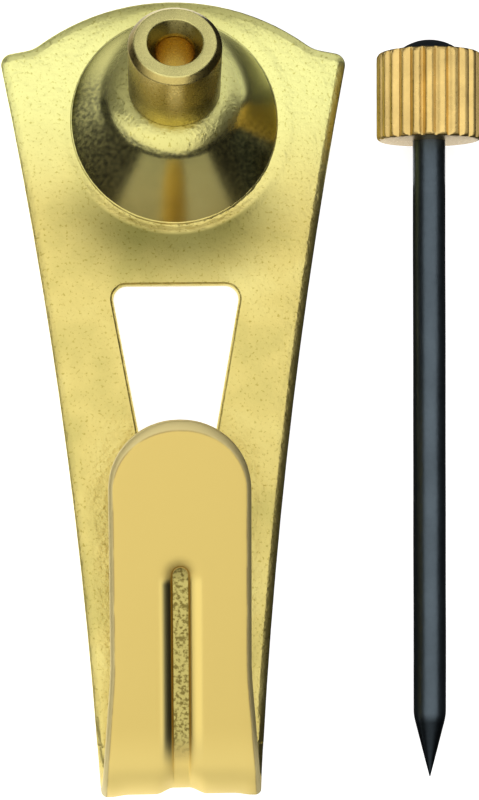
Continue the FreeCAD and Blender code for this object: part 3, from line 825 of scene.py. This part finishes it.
def crease_foot(plate, sheet):
    """Keeps the line crisp where the dome leaves the sheet."""

    def at_foot(edge):
        ends = [vertex.co for vertex in edge.verts]
        gaps = [abs(math.hypot(end.x, end.y) - sheet.foot_radius) for end in ends]
        return max(gaps) < FOOT_GAP and min(end.z for end in ends) > sheet.thickness / 2

    change_edges(plate, at_foot, bpy.ops.mesh.mark_sharp)


def rounded(corners, closed):
    """Points of a profile whose corners, each a height, a radius and a round, are worn round."""
    points = []
    for index, (height, radius, wear) in enumerate(corners):
        here = Vector((height, radius))
        last = not closed and index in (0, len(corners) - 1)
        if last or not wear:
            points.append(here)
            continue
        before = Vector(corners[index - 1][:2]) - here
        after = Vector(corners[(index + 1) % len(corners)][:2]) - here
        start, stop = here + before.normalized() * wear, here + after.normalized() * wear
        for share in steps(0, 1, 1 / ROUND_STEPS):
            points.append(start.lerp(here, share).lerp(here.lerp(stop, share), share))
    return points


def turned_piece(name, foot, axis, corners, closed, count):
    """A rounded profile spun about an axis."""
    side = (X_AXIS - axis * axis.x).normalized()
    points = rounded(corners, closed)
    edges = [(index, index + 1) for index in range(len(points) - 1)]
    if closed:
        edges.append((len(points) - 1, 0))
    mesh = bpy.data.meshes.new(name)
    mesh.from_pydata([foot + axis * point.x + side * point.y for point in points], edges, [])
    piece = bpy.data.objects.new(name, mesh)
    bpy.context.scene.collection.objects.link(piece)
    make_active(piece)
    bpy.ops.object.mode_set(mode="EDIT")
    bpy.ops.mesh.select_all(action="SELECT")
    bpy.ops.mesh.spin(steps=count, angle=2 * math.pi, center=foot, axis=axis)
    bpy.ops.mesh.select_all(action="SELECT")
    bpy.ops.mesh.remove_doubles(threshold=MERGE_DISTANCE)
    bpy.ops.mesh.normals_make_consistent(inside=False)
    bpy.ops.object.mode_set(mode="OBJECT")
    return piece


def around_axis(foot, axis, rule):
    """A rule on height, radius and angle about an axis, as a rule on points."""
    side = (X_AXIS - axis * axis.x).normalized()
    across = axis.cross(side)

    def move(point):
        arm = point - foot
        height = arm.dot(axis)
        angle = math.atan2(arm.dot(across), arm.dot(side))
        radius = (arm - axis * height).length
        height, radius = rule(height, radius, angle)
        return foot + axis * height + (side * math.cos(angle) + across * math.sin(angle)) * radius

    return move


def finish_piece(piece, node, material):
    """Shades a piece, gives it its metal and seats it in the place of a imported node."""
    make_active(piece)
    bpy.ops.object.shade_smooth_by_angle(angle=SMOOTH_ANGLE)
    piece.data.materials.clear()
    piece.data.materials.append(material)
    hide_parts(node)
    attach(piece, BODY)


def new_material(name):
    material = bpy.data.materials.new(name)
    material.use_nodes = True
    tree = material.node_tree
    shader = tree.nodes["Principled BSDF"]
    coords = tree.nodes.new("ShaderNodeTexCoord")
    return material, tree, shader, coords.outputs["Object"]


def add_node(tree, kind, inputs=None, **settings):
    node = tree.nodes.new(kind)
    for name, value in settings.items():
        setattr(node, name, value)
    for name, value in (inputs or {}).items():
        if isinstance(value, bpy.types.NodeSocket):
            tree.links.new(value, node.inputs[name])
        else:
            node.inputs[name].default_value = value
    return node


def split(tree, vector):
    return add_node(tree, "ShaderNodeSeparateXYZ", {"Vector": vector}).outputs


def facing(tree):
    """The way the surface faces."""
    return add_node(tree, "ShaderNodeNewGeometry").outputs["Normal"]


def vector_math(tree, operation, first, second=(0, 0, 0)):
    node = add_node(tree, "ShaderNodeVectorMath", {0: first, 1: second}, operation=operation)
    return node.outputs["Vector" if operation == "CROSS_PRODUCT" else "Value"]


def distance(tree, across, along):
    """How far a place on the flat lies from the middle."""
    flat = add_node(tree, "ShaderNodeCombineXYZ", {"X": across, "Y": along}).outputs["Vector"]
    return vector_math(tree, "LENGTH", flat)


def noise(tree, coords, grain, detail=3.0, roughness=0.5):
    """Noise whose spots are about one grain across."""
    inputs = {"Vector": coords, "Scale": 1 / grain, "Detail": detail, "Roughness": roughness}
    return add_node(tree, "ShaderNodeTexNoise", inputs).outputs["Fac"]


def ramp(tree, factor, stops):
    node = add_node(tree, "ShaderNodeValToRGB", {"Fac": factor})
    elements = node.color_ramp.elements
    while len(elements) < len(stops):
        elements.new(0.5)
    for element, (place, colour) in zip(elements, stops):
        element.position = place
        element.color = (*colour, 1)
    return node.outputs["Color"]


def darker(colour, share):
    return tuple(share * part for part in colour)


def mottled(tree, coords, colour, grain, share):
    """A colour that falls to a share of itself in blotches about one grain across."""
    low, high = NOISE_RANGE
    return ramp(tree, noise(tree, coords, grain), [(low, darker(colour, share)), (high, colour)])


def remap(tree, value, ends, new_ends):
    (low, high), (new_low, new_high) = ends, new_ends
    inputs = {"Value": value, "From Min": low, "From Max": high, "To Min": new_low, "To Max": new_high}
    return add_node(tree, "ShaderNodeMapRange", inputs).outputs["Result"]


def mask(tree, value, ends):
    """Rises from 0 to 1 between two values, or falls where the first is the larger."""
    inputs = {"Value": value, "From Min": ends[0], "From Max": ends[1]}
    return add_node(tree, "ShaderNodeMapRange", inputs, interpolation_type="SMOOTHSTEP").outputs["Result"]


def bump(tree, height, depth):
    inputs = {"Height": height, "Strength": 1.0, "Distance": depth}
    return add_node(tree, "ShaderNodeBump", inputs).outputs["Normal"]


def math_node(tree, operation, first, second=0.0):
    return add_node(tree, "ShaderNodeMath", {0: first, 1: second}, operation=operation).outputs[0]


def mix_colour(tree, factor, first, second, blend="MIX"):
    node = add_node(tree, "ShaderNodeMix", data_type="RGBA", blend_type=blend)
    for socket, value in (("Factor_Float", factor), ("A_Color", first), ("B_Color", second)):
        target = next(item for item in node.inputs if item.identifier == socket)
        if isinstance(value, bpy.types.NodeSocket):
            tree.links.new(value, target)
        else:
            target.default_value = (*value, 1)
    return next(item for item in node.outputs if item.identifier == "Result_Color")


def paint(tree, colour, layers):
    """Lays colours over one another, each with its strength and the mask where it lies."""
    for strength, where, tint in layers:
        colour = mix_colour(tree, math_node(tree, "MULTIPLY", where, strength), colour, tint)
    return colour


def both(tree, *masks):
    """Where all the masks hold."""
    result = masks[0]
    for item in masks[1:]:
        result = math_node(tree, "MULTIPLY", result, item)
    return result


def tongue_regions(tree, place, sheet):
    """Masks over the tongue, its fold and its bead, by name, with that of the painted shade on the bead's
    left side.
    """
    x, y, z = place["X"], place["Y"], place["Z"]
    tongue = both(tree, mask(tree, z, TONGUE_LEVEL), mask(tree, y, TONGUE_START))
    bead_end = FoldedFace(sheet).spot(0, sheet.bead_end, 0).y
    beyond = math_node(tree, "MAXIMUM", math_node(tree, "SUBTRACT", y, bead_end), 0.0)
    aside = distance(tree, x, beyond)
    on_bead = both(tree, tongue, mask(tree, y, BEAD_FADE))
    half, rolled = sheet.bead_floor, sheet.bead_floor + sheet.bead_roll
    regions = {
        "tongue": tongue,
        "fold": both(tree, tongue, mask(tree, y, FOLD_START)),
        "floor": both(tree, mask(tree, aside, from_edge(half, 0.03, -0.03)), on_bead),
        "foot": both(tree, mask(tree, aside, from_edge(half, 0.14, 0.06)), on_bead),
        "bead": both(tree, mask(tree, aside, from_edge(rolled, 0.1, -0.25)), on_bead,
                     mask(tree, y, from_edge(bead_end, 0.1, -0.5))),
        # Painted shade on the bead's left side, which faces away from the light.
        "slit_shade": both(tree, mask(tree, x, from_edge(-half, -0.1, -0.18)), on_bead,
                     mask(tree, x, from_edge(-half, -0.75, -0.45)),
                     mask(tree, y, from_edge(bead_end, -0.15, -0.6))),
    }
    for name in ("rim", "line"):
        drawn = add_node(tree, "ShaderNodeAttribute", attribute_name=name).outputs["Fac"]
        regions[name] = both(tree, drawn, tongue)
    return regions


def dome_regions(tree, place, sheet):
    """Masks over the dome and the plate around it, by name, among them those of the painted highlight,
    painted shade and painted dark reflection.
    """
    x, y, z = place["X"], place["Y"], place["Z"]
    upright = split(tree, facing(tree))["Z"]
    on_dome = both(tree, mask(tree, z, from_edge(sheet.thickness, 0.03, 0.12)), mask(tree, y, DOME_START))
    flank = both(tree, mask(tree, upright, FLANK_SLOPE), on_dome)
    radius = distance(tree, x, y)
    below = math_node(tree, "DIVIDE", math_node(tree, "MULTIPLY", y, -1.0), radius)
    sideways = math_node(tree, "DIVIDE", math_node(tree, "ABSOLUTE", x), radius)
    # Painted dark reflection: the dome's sides, and the band under its shoulder.
    slanted = math_node(tree, "ADD", y, math_node(tree, "MULTIPLY", x, DARK_BAND_SLANT))
    sides = both(tree, flank, mask(tree, sideways, DARK_BAND_TURN), mask(tree, slanted, DARK_BAND_START))
    slopes = [mask(tree, upright, slope) for slope in SHOULDER_SLOPES]
    shoulder = both(tree, *slopes, mask(tree, y, SHOULDER_START))
    return {
        # Painted highlight over the upper plate.
        "upper": mask(tree, y, UPPER_HIGHLIGHT_BAND),
        # Painted shade along the crown's top edge.
        "crown": mask(tree, y, CROWN_SHADE_BAND),
        "flank": flank,
        # Painted shade on the seat behind the guide, strongest on the left.
        "shade": both(tree, on_dome, mask(tree, y, SHADE_START), mask(tree, x, SHADE_SIDE)),
        # Painted shade on the outer slope of the ring below the dome.
        "painted_foot_shade": both(tree, mask(tree, radius, FOOT_SHADE_INSIDE), mask(tree, radius, FOOT_SHADE_OUTSIDE),
                       mask(tree, below, FOOT_SHADE_TURN)),
        "painted_dark_band": both(tree, math_node(tree, "MAXIMUM", sides, shoulder), on_dome),
    }


def plated_sheet(finish):
    """Yellow plating: a pebbled face, a drawn dome, a satin tongue and a rough bead, with painted
    highlight, painted shade and painted dark reflection.
    """
    material, tree, shader, coords = new_material("plated_sheet")
    place = split(tree, coords)
    at = {**tongue_regions(tree, place, finish), **dome_regions(tree, place, finish)}
    patchy = mask(tree, noise(tree, coords, PATCH_GRAIN), PATCH_RANGE)
    stretched = {"Vector": coords, "Scale": STREAK_STRETCH}
    upward = add_node(tree, "ShaderNodeMapping", stretched).outputs["Vector"]
    streaks = remap(tree, noise(tree, upward, STREAK_GRAIN), STREAK_RANGE, STREAK_STRENGTH)
    blotches = noise(tree, coords, BLOTCH_GRAIN, detail=5)
    plating = ramp(tree, blotches, [(0.3, finish.olive), (0.5, finish.gold), (0.7, finish.pale)])
    colour = paint(tree, plating, (
        # Painted highlight: paler plating over the upper plate.
        (0.9, at["upper"], finish.crown),
        # Painted shade along the crown's top edge, in the shaded plating colour.
        (0.75, at["crown"], finish.shade),
        # Painted shade below the dome.
        (0.8, at["painted_foot_shade"], finish.painted_foot_shade),
        # Painted shade on the seat behind the guide.
        (0.8, at["shade"], finish.shade),
        # Painted dark reflection on the dome's sides and under its shoulder, streaked.
        (0.75, both(tree, at["painted_dark_band"], streaks), finish.painted_dark_band),
        (0.97, at["tongue"], finish.tongue),
        # Painted light: the fold gets brighter plating than the tongue, against the shade where it turns
        # away from the lights.
        (1.0, at["fold"], finish.fold),
        (0.9, mask(tree, at["rim"], RIM_RANGE), finish.rim),
        (0.7, both(tree, at["line"], patchy), finish.line),
        (1.0, at["bead"], finish.bead),
        # Painted shade on the bead's left side.
        (0.85, at["slit_shade"], finish.painted_dark_band),
        (0.8, at["foot"], finish.bead_edge),
        (1.0, at["floor"], finish.floor),
    ))
    fine = ramp(tree, noise(tree, coords, FINE_GRAIN), FINE_SPECKS)
    coarse = ramp(tree, noise(tree, coords, COARSE_GRAIN, detail=2), COARSE_SPECKS)
    specks = mix_colour(tree, at["floor"], fine, coarse)
    smooth = math_node(tree, "MAXIMUM", at["tongue"], at["flank"])
    pebbled = math_node(tree, "MAXIMUM", math_node(tree, "SUBTRACT", 1.0, smooth), at["floor"])
    tree.links.new(mix_colour(tree, pebbled, colour, specks, "MULTIPLY"), shader.inputs["Base Color"])
    dents = noise(tree, coords, DENT_GRAIN, detail=2)
    pebbles = noise(tree, coords, PEBBLE_GRAIN, roughness=0.6)
    height = math_node(tree, "ADD", pebbles, math_node(tree, "MULTIPLY", dents, DENT_SHARE))
    height = math_node(tree, "MULTIPLY", height, math_node(tree, "ADD", pebbled, SMOOTH_SHARE))
    tree.links.new(bump(tree, height, PEBBLE_DEPTH), shader.inputs["Normal"])
    satin = math_node(tree, "SUBTRACT", at["tongue"], at["bead"])
    rough = remap(tree, at["flank"], (0.0, 1.0), PLATED_ROUGHNESS)
    rough = math_node(tree, "ADD", rough, math_node(tree, "MULTIPLY", satin, SATIN_ROUGHNESS))
    tree.links.new(rough, shader.inputs["Roughness"])
    dull = math_node(tree, "ADD", math_node(tree, "MULTIPLY", satin, SATIN_DULLNESS),
                     math_node(tree, "MULTIPLY", at["fold"], FOLD_DULLNESS))
    tree.links.new(math_node(tree, "SUBTRACT", 1.0, dull), shader.inputs["Metallic"])
    return material


def polish(tree, shader, coords, colour, grain, rough, depth):
    """Makes bare metal of a colour, with a fine grain in its shine and its surface."""
    tree.links.new(colour, shader.inputs["Base Color"])
    spots = noise(tree, coords, grain, detail=2)
    tree.links.new(remap(tree, spots, NOISE_RANGE, rough), shader.inputs["Roughness"])
    tree.links.new(bump(tree, spots, depth), shader.inputs["Normal"])
    shader.inputs["Metallic"].default_value = 1.0


def turned_brass(finish):
    """Brass off a lathe, brightest on its faced end, with painted shade on its side, the side's edges and
    its cone, and inside its bore.
    """
    material, tree, shader, coords = new_material("turned_brass")
    axis = guide_axis(finish)
    slope = mask(tree, vector_math(tree, "DOT_PRODUCT", facing(tree), axis), TURNED_SLOPE)
    height = vector_math(tree, "DOT_PRODUCT", coords, axis)
    radius = vector_math(tree, "LENGTH", vector_math(tree, "CROSS_PRODUCT", coords, axis))
    outside = both(tree, slope, mask(tree, radius, TURNED_OUTSIDE),
                   mask(tree, height, from_edge(finish.front, 0, -0.1)))
    aside = math_node(tree, "ABSOLUTE", split(tree, coords)["X"])
    shadow = darker(finish.side, SIDE_SHADOW)
    colour = paint(tree, mottled(tree, coords, finish.brass, *TURNED_MOTTLE), (
        # Painted shade on the side, the side's edges and the cone, and inside the bore.
        (0.85, outside, finish.side),
        (0.8, both(tree, outside, mask(tree, aside, SIDE_EDGE_SHADE)), shadow),
        (0.75, both(tree, slope, mask(tree, radius, CONE_SHADE)), shadow),
        (1.0, mask(tree, radius, BORE_SHADE), finish.inside),
    ))
    polish(tree, shader, coords, colour, *TURNED_POLISH)
    return material


def blued_steel(finish):
    """Hardened steel with a blue-black oxide."""
    material, tree, shader, coords = new_material("blued_steel")
    tip = mask(tree, split(tree, coords)["Y"], TIP_START)
    steel = mottled(tree, coords, finish.blued, *BLUED_MOTTLE)
    colour = mix_colour(tree, tip, steel, darker(finish.blued, TIP_SHADE))
    polish(tree, shader, coords, colour, *BLUED_POLISH)
    return material


def knurled_brass(finish):
    """Bright knurled brass, with painted shade on its lower end."""
    material, tree, shader, coords = new_material("knurled_brass")
    # Painted shade on the end that faces down the nail.
    lower = mask(tree, split(tree, facing(tree))["Y"], COLLAR_SHADE_FACING)
    bright = mottled(tree, coords, finish.collar_brass, *KNURLED_MOTTLE)
    colour = mix_colour(tree, lower, bright, darker(finish.collar_brass, COLLAR_SHADE))
    polish(tree, shader, coords, colour, *KNURLED_POLISH)
    return material


def uneven(seed, low, high):
    """A number between two ends that looks drawn at random but is the same in each run."""
    drawn = math.sin(seed * HASH_STEP) * HASH_SCALE
    return low + (high - low) * (drawn - math.floor(drawn))


def nail_profile(finish):
    """The point, the shank and the domed head."""
    shank, head = finish.shank / 2, finish.head / 2
    top = finish.collar_foot + finish.collar_length
    rows = steps(finish.point + SHANK_PITCH, top - SHANK_PITCH, SHANK_PITCH)
    corners = [(0, 0, 0), (TIP_LENGTH, TIP_RADIUS, 0), (finish.point, shank, POINT_ROUND)]
    corners += [(height, shank, 0) for height in rows]
    corners += [(top, shank, 0), (top, head - HEAD_EDGE, HEAD_ROUND)]
    dome = (head ** 2 + finish.head_height ** 2) / (2 * finish.head_height)
    for share in steps(0, 1, HEAD_STEP)[:-1]:
        radius = head * (1 - share)
        rise = math.sqrt(dome ** 2 - radius ** 2) - (dome - finish.head_height)
        corners.append((top + max(rise, HEAD_LIP), radius, 0))
    corners.append((top + finish.head_height, 0, 0))
    return corners


def forged(height, radius, angle):
    """The slight unevenness of a forged nail."""
    place = Vector((math.cos(angle), math.sin(angle), height / FORGED_GRAIN))
    return height, radius * (1 + FORGED_SHARE * noise_at(place))


def collar_profile(finish):
    """A plain round collar with worn ends."""
    foot, top = finish.collar_foot, finish.collar_foot + finish.collar_length
    hole, outer, wear = finish.shank / 2 + COLLAR_PLAY, finish.collar / 2, finish.collar_round
    corners = [(foot, hole, 0), (foot, outer, wear)]
    corners += [(height, outer, 0) for height in steps(foot + 2 * wear, top - 2 * wear, COLLAR_PITCH)]
    corners += [(top, outer, wear), (top, hole, 0)]
    return corners


def knurled(finish, height, radius, angle):
    """The grooves rolled into the collar, no two quite alike."""
    turn = (angle / (2 * math.pi) % 1) * finish.flutes
    groove = round(turn) % finish.flutes
    depth = finish.flute_depth * uneven(groove + DEPTH_SEED, *FLUTE_DEPTHS)
    width = uneven(groove + WIDTH_SEED, *FLUTE_WIDTHS)
    sunk = depth * eased(1 - abs(turn - round(turn)) / width)
    crown = FLUTE_CROWN * finish.flute_depth * (2 * abs(turn - math.floor(turn) - 0.5)) ** 2
    place = Vector((math.cos(angle), math.sin(angle), height / WANDER_GRAIN))
    wander = WANDER_SHARE * finish.collar * abs(noise_at(place))
    return height, min(radius, finish.collar / 2 - sunk - crown - wander)


class PICTUREHOOK_OT_hook_plate(bpy.types.Operator):
    """Finish the folded sheet of the hook"""

    bl_idname = "picturehook.hook_plate"
    bl_label = "Hook plate"

    def execute(self, context):
        sheet = context.scene.sheet_finish
        plate = copy_of_node("hook_plate")
        face = FoldedFace(sheet)
        round_edges(plate, sheet, face)
        renew_outer_face(plate, sheet, face)
        renew_front_face(plate, sheet, face)
        renew_dome(plate, sheet, context.scene.guide_finish)
        crease_foot(plate, sheet)
        finish_piece(plate, "hook_plate", plated_sheet(sheet))
        return {"FINISHED"}


class PICTUREHOOK_OT_guide_bushing(bpy.types.Operator):
    """Finish the turned guide that holds the nail"""

    bl_idname = "picturehook.guide_bushing"
    bl_label = "Guide bushing"

    def execute(self, context):
        guide = context.scene.guide_finish
        axis = guide_axis(guide)
        bore, outer, spigot = guide.bore / 2, guide.diameter / 2, guide.spigot / 2
        front, wear = guide.front, guide.wear
        corners = [
            (guide.flare_foot, bore, wear),
            (guide.flare_foot, guide.flare / 2, wear),
            (guide.flare_top, guide.flare / 2, wear),
            (guide.flare_top, spigot, 0),
            (guide.seat, spigot, 0),
            (guide.seat, outer, wear),
            (front - guide.chamfer, outer, wear),
            (front, outer - guide.chamfer, wear),
            (front, guide.mouth / 2, wear),
            (front - guide.mouth_depth, bore, wear),
        ]
        bushing = turned_piece("guide_bushing_finish", Vector(), axis, corners, True, TURN_STEPS)
        finish_piece(bushing, "guide_bushing", turned_brass(guide))
        return {"FINISHED"}


class PICTUREHOOK_OT_nail(bpy.types.Operator):
    """Finish the nail and its knurled collar"""

    bl_idname = "picturehook.nail"
    bl_label = "Nail and collar"

    def execute(self, context):
        finish = context.scene.nail_finish
        mounts = {mount["name"]: mount for mount in frame["record"]["mounts"]}
        axis = -Vector(mounts["nail_shank"]["axis"]).normalized()
        tip = Vector(mounts["nail_shank"]["pos_m"]) - axis * (finish.point + finish.collar_foot) / 2
        nail = turned_piece("nail_finish", tip, axis, nail_profile(finish), False, TURN_STEPS)
        reshape(nail, around_axis(tip, axis, forged))
        finish_piece(nail, "nail", blued_steel(finish))
        collar = turned_piece("nail_collar_finish", tip, axis, collar_profile(finish), True, KNURL_STEPS)
        reshape(collar, around_axis(tip, axis, lambda *place: knurled(finish, *place)))
        finish_piece(collar, "nail_collar", knurled_brass(finish))
        return {"FINISHED"}


def add_softbox(name, place, aim, size, brightness):
    """A soft light whose face has the given brightness."""
    light = bpy.data.lights.new(name, "AREA")
    light.shape = "RECTANGLE"
    light.size, light.size_y = size
    light.energy = brightness * math.pi * size[0] * size[1]
    lamp = bpy.data.objects.new(name, light)
    lamp.location = place
    lamp.rotation_euler = (Vector(aim) - Vector(place)).to_track_quat("-Z", "Y").to_euler()
    lamp.visible_camera = False
    bpy.context.scene.collection.objects.link(lamp)


def link_light(name, state, names):
    """Keeps a light to some pieces, or off them, as a card on a stand does."""
    lit = bpy.data.collections.new(name + "_lights")
    bpy.data.objects[name].light_linking.receiver_collection = lit
    for piece in names:
        lit.objects.link(bpy.data.objects[piece])
    for item in lit.collection_objects:
        item.light_linking.link_state = state


def add_camera(stage):
    turn, tilt, roll = stage.camera_turn, stage.camera_tilt, stage.camera_roll
    back = Vector((-math.sin(turn) * math.cos(tilt), -math.sin(tilt), math.cos(turn) * math.cos(tilt)))
    right = Y_AXIS.cross(back).normalized()
    up = back.cross(right)
    right = right * math.cos(roll) - up * math.sin(roll)
    up = back.cross(right)
    lens = bpy.data.cameras.new("camera")
    lens.sensor_fit = "VERTICAL"
    lens.sensor_height = SENSOR_HEIGHT
    lens.lens = stage.camera_lens
    lens.clip_start, lens.clip_end = CLIP
    camera = bpy.data.objects.new("camera", lens)
    place = Vector(stage.camera_target) + back * stage.camera_distance
    camera.matrix_world = Matrix.Translation(place) @ Matrix((right, up, back)).transposed().to_4x4()
    bpy.context.scene.collection.objects.link(camera)
    bpy.context.scene.camera = camera


def lay_paper(name, colour, grain, share, glow):
    """Makes pale, softly glowing paper of the plane that was just added."""
    paper = bpy.context.object
    paper.name = name
    bpy.ops.object.transform_apply()
    material, tree, shader, coords = new_material(name)
    tree.links.new(mottled(tree, coords, colour, grain, share), shader.inputs["Base Color"])
    shader.inputs["Roughness"].default_value = PAPER_ROUGHNESS
    shader.inputs["Emission Color"].default_value = (*WHITE, 1)
    shader.inputs["Emission Strength"].default_value = glow
    paper.data.materials.append(material)
    return paper


def light_studio(scene):
    """A white background for the camera, and hardly any light from it on the pieces."""
    scene.world = bpy.data.worlds.new("studio")
    scene.world.use_nodes = True
    studio = scene.world.node_tree
    background = studio.nodes["Background"]
    seen = add_node(studio, "ShaderNodeLightPath").outputs["Is Camera Ray"]
    studio.links.new(remap(studio, seen, (0.0, 1.0), (STUDIO_GLOW, 1.0)), background.inputs["Strength"])
    background.inputs["Color"].default_value = (*WHITE, 1)


class PICTUREHOOK_OT_stage(bpy.types.Operator):
    """Lay the floor, hang the lights and place the camera"""

    bl_idname = "picturehook.stage"
    bl_label = "Stage"

    def execute(self, context):
        stage = context.scene.stage_setup
        deselect_all()
        bpy.ops.mesh.primitive_plane_add(size=stage.floor_size, location=(0, 0, FLOOR_LEVEL))
        floor = lay_paper("floor", stage.floor_colour, FLOOR_GRAIN, FLOOR_SHARE, FLOOR_GLOW)
        floor.visible_glossy = False
        bpy.ops.mesh.primitive_circle_add(radius=DISC_RADIUS, fill_type="NGON", location=(0, 0, DISC_LEVEL))
        lay_paper("card", PAPER, PAPER_GRAIN, PAPER_SHARE, DISC_GLOW)
        for name, place, scale, glow in CARDS:
            bpy.ops.mesh.primitive_plane_add(size=1, location=place)
            context.object.scale = scale
            lay_paper(name, PAPER, PAPER_GRAIN, PAPER_SHARE, glow)
        light_studio(context.scene)
        for light in LIGHTS:
            add_softbox(*light)
        for name, (state, names) in LIT_PIECES.items():
            link_light(name, state, names)
        context.scene.view_settings.view_transform = "Standard"
        add_camera(stage)
        return {"FINISHED"}


class PICTUREHOOK_PT_panel(bpy.types.Panel):
    """Lists the pieces of the hook and what can be changed on them"""

    bl_label = "Picture hook"
    bl_space_type = "VIEW_3D"
    bl_region_type = "UI"
    bl_category = "Picture hook"

    def draw(self, context):
        for operator in OPERATORS:
            self.layout.operator(operator.bl_idname)
        for place in GROUPS:
            group = getattr(context.scene, place)
            box = self.layout.box()
            for name in group.__annotations__:
                box.prop(group, name)


GROUPS = {
    "sheet_finish": SheetFinish,
    "guide_finish": GuideFinish,
    "nail_finish": NailFinish,
    "stage_setup": StageSetup,
}
OPERATORS = (
    PICTUREHOOK_OT_hook_plate,
    PICTUREHOOK_OT_guide_bushing,
    PICTUREHOOK_OT_nail,
    PICTUREHOOK_OT_stage,
)


def register():
    for place, group in GROUPS.items():
        bpy.utils.register_class(group)
        setattr(bpy.types.Scene, place, bpy.props.PointerProperty(type=group))
    for operator in OPERATORS:
        bpy.utils.register_class(operator)
    bpy.utils.register_class(PICTUREHOOK_PT_panel)


def unregister():
    bpy.utils.unregister_class(PICTUREHOOK_PT_panel)
    for operator in reversed(OPERATORS):
        bpy.utils.unregister_class(operator)
    for place, group in reversed(GROUPS.items()):
        delattr(bpy.types.Scene, place)
        bpy.utils.unregister_class(group)


def main():
    register()
    bpy.ops.picturehook.hook_plate()
    bpy.ops.picturehook.guide_bushing()
    bpy.ops.picturehook.nail()
    bpy.ops.picturehook.stage()


if __name__ == "__main__":
    main()
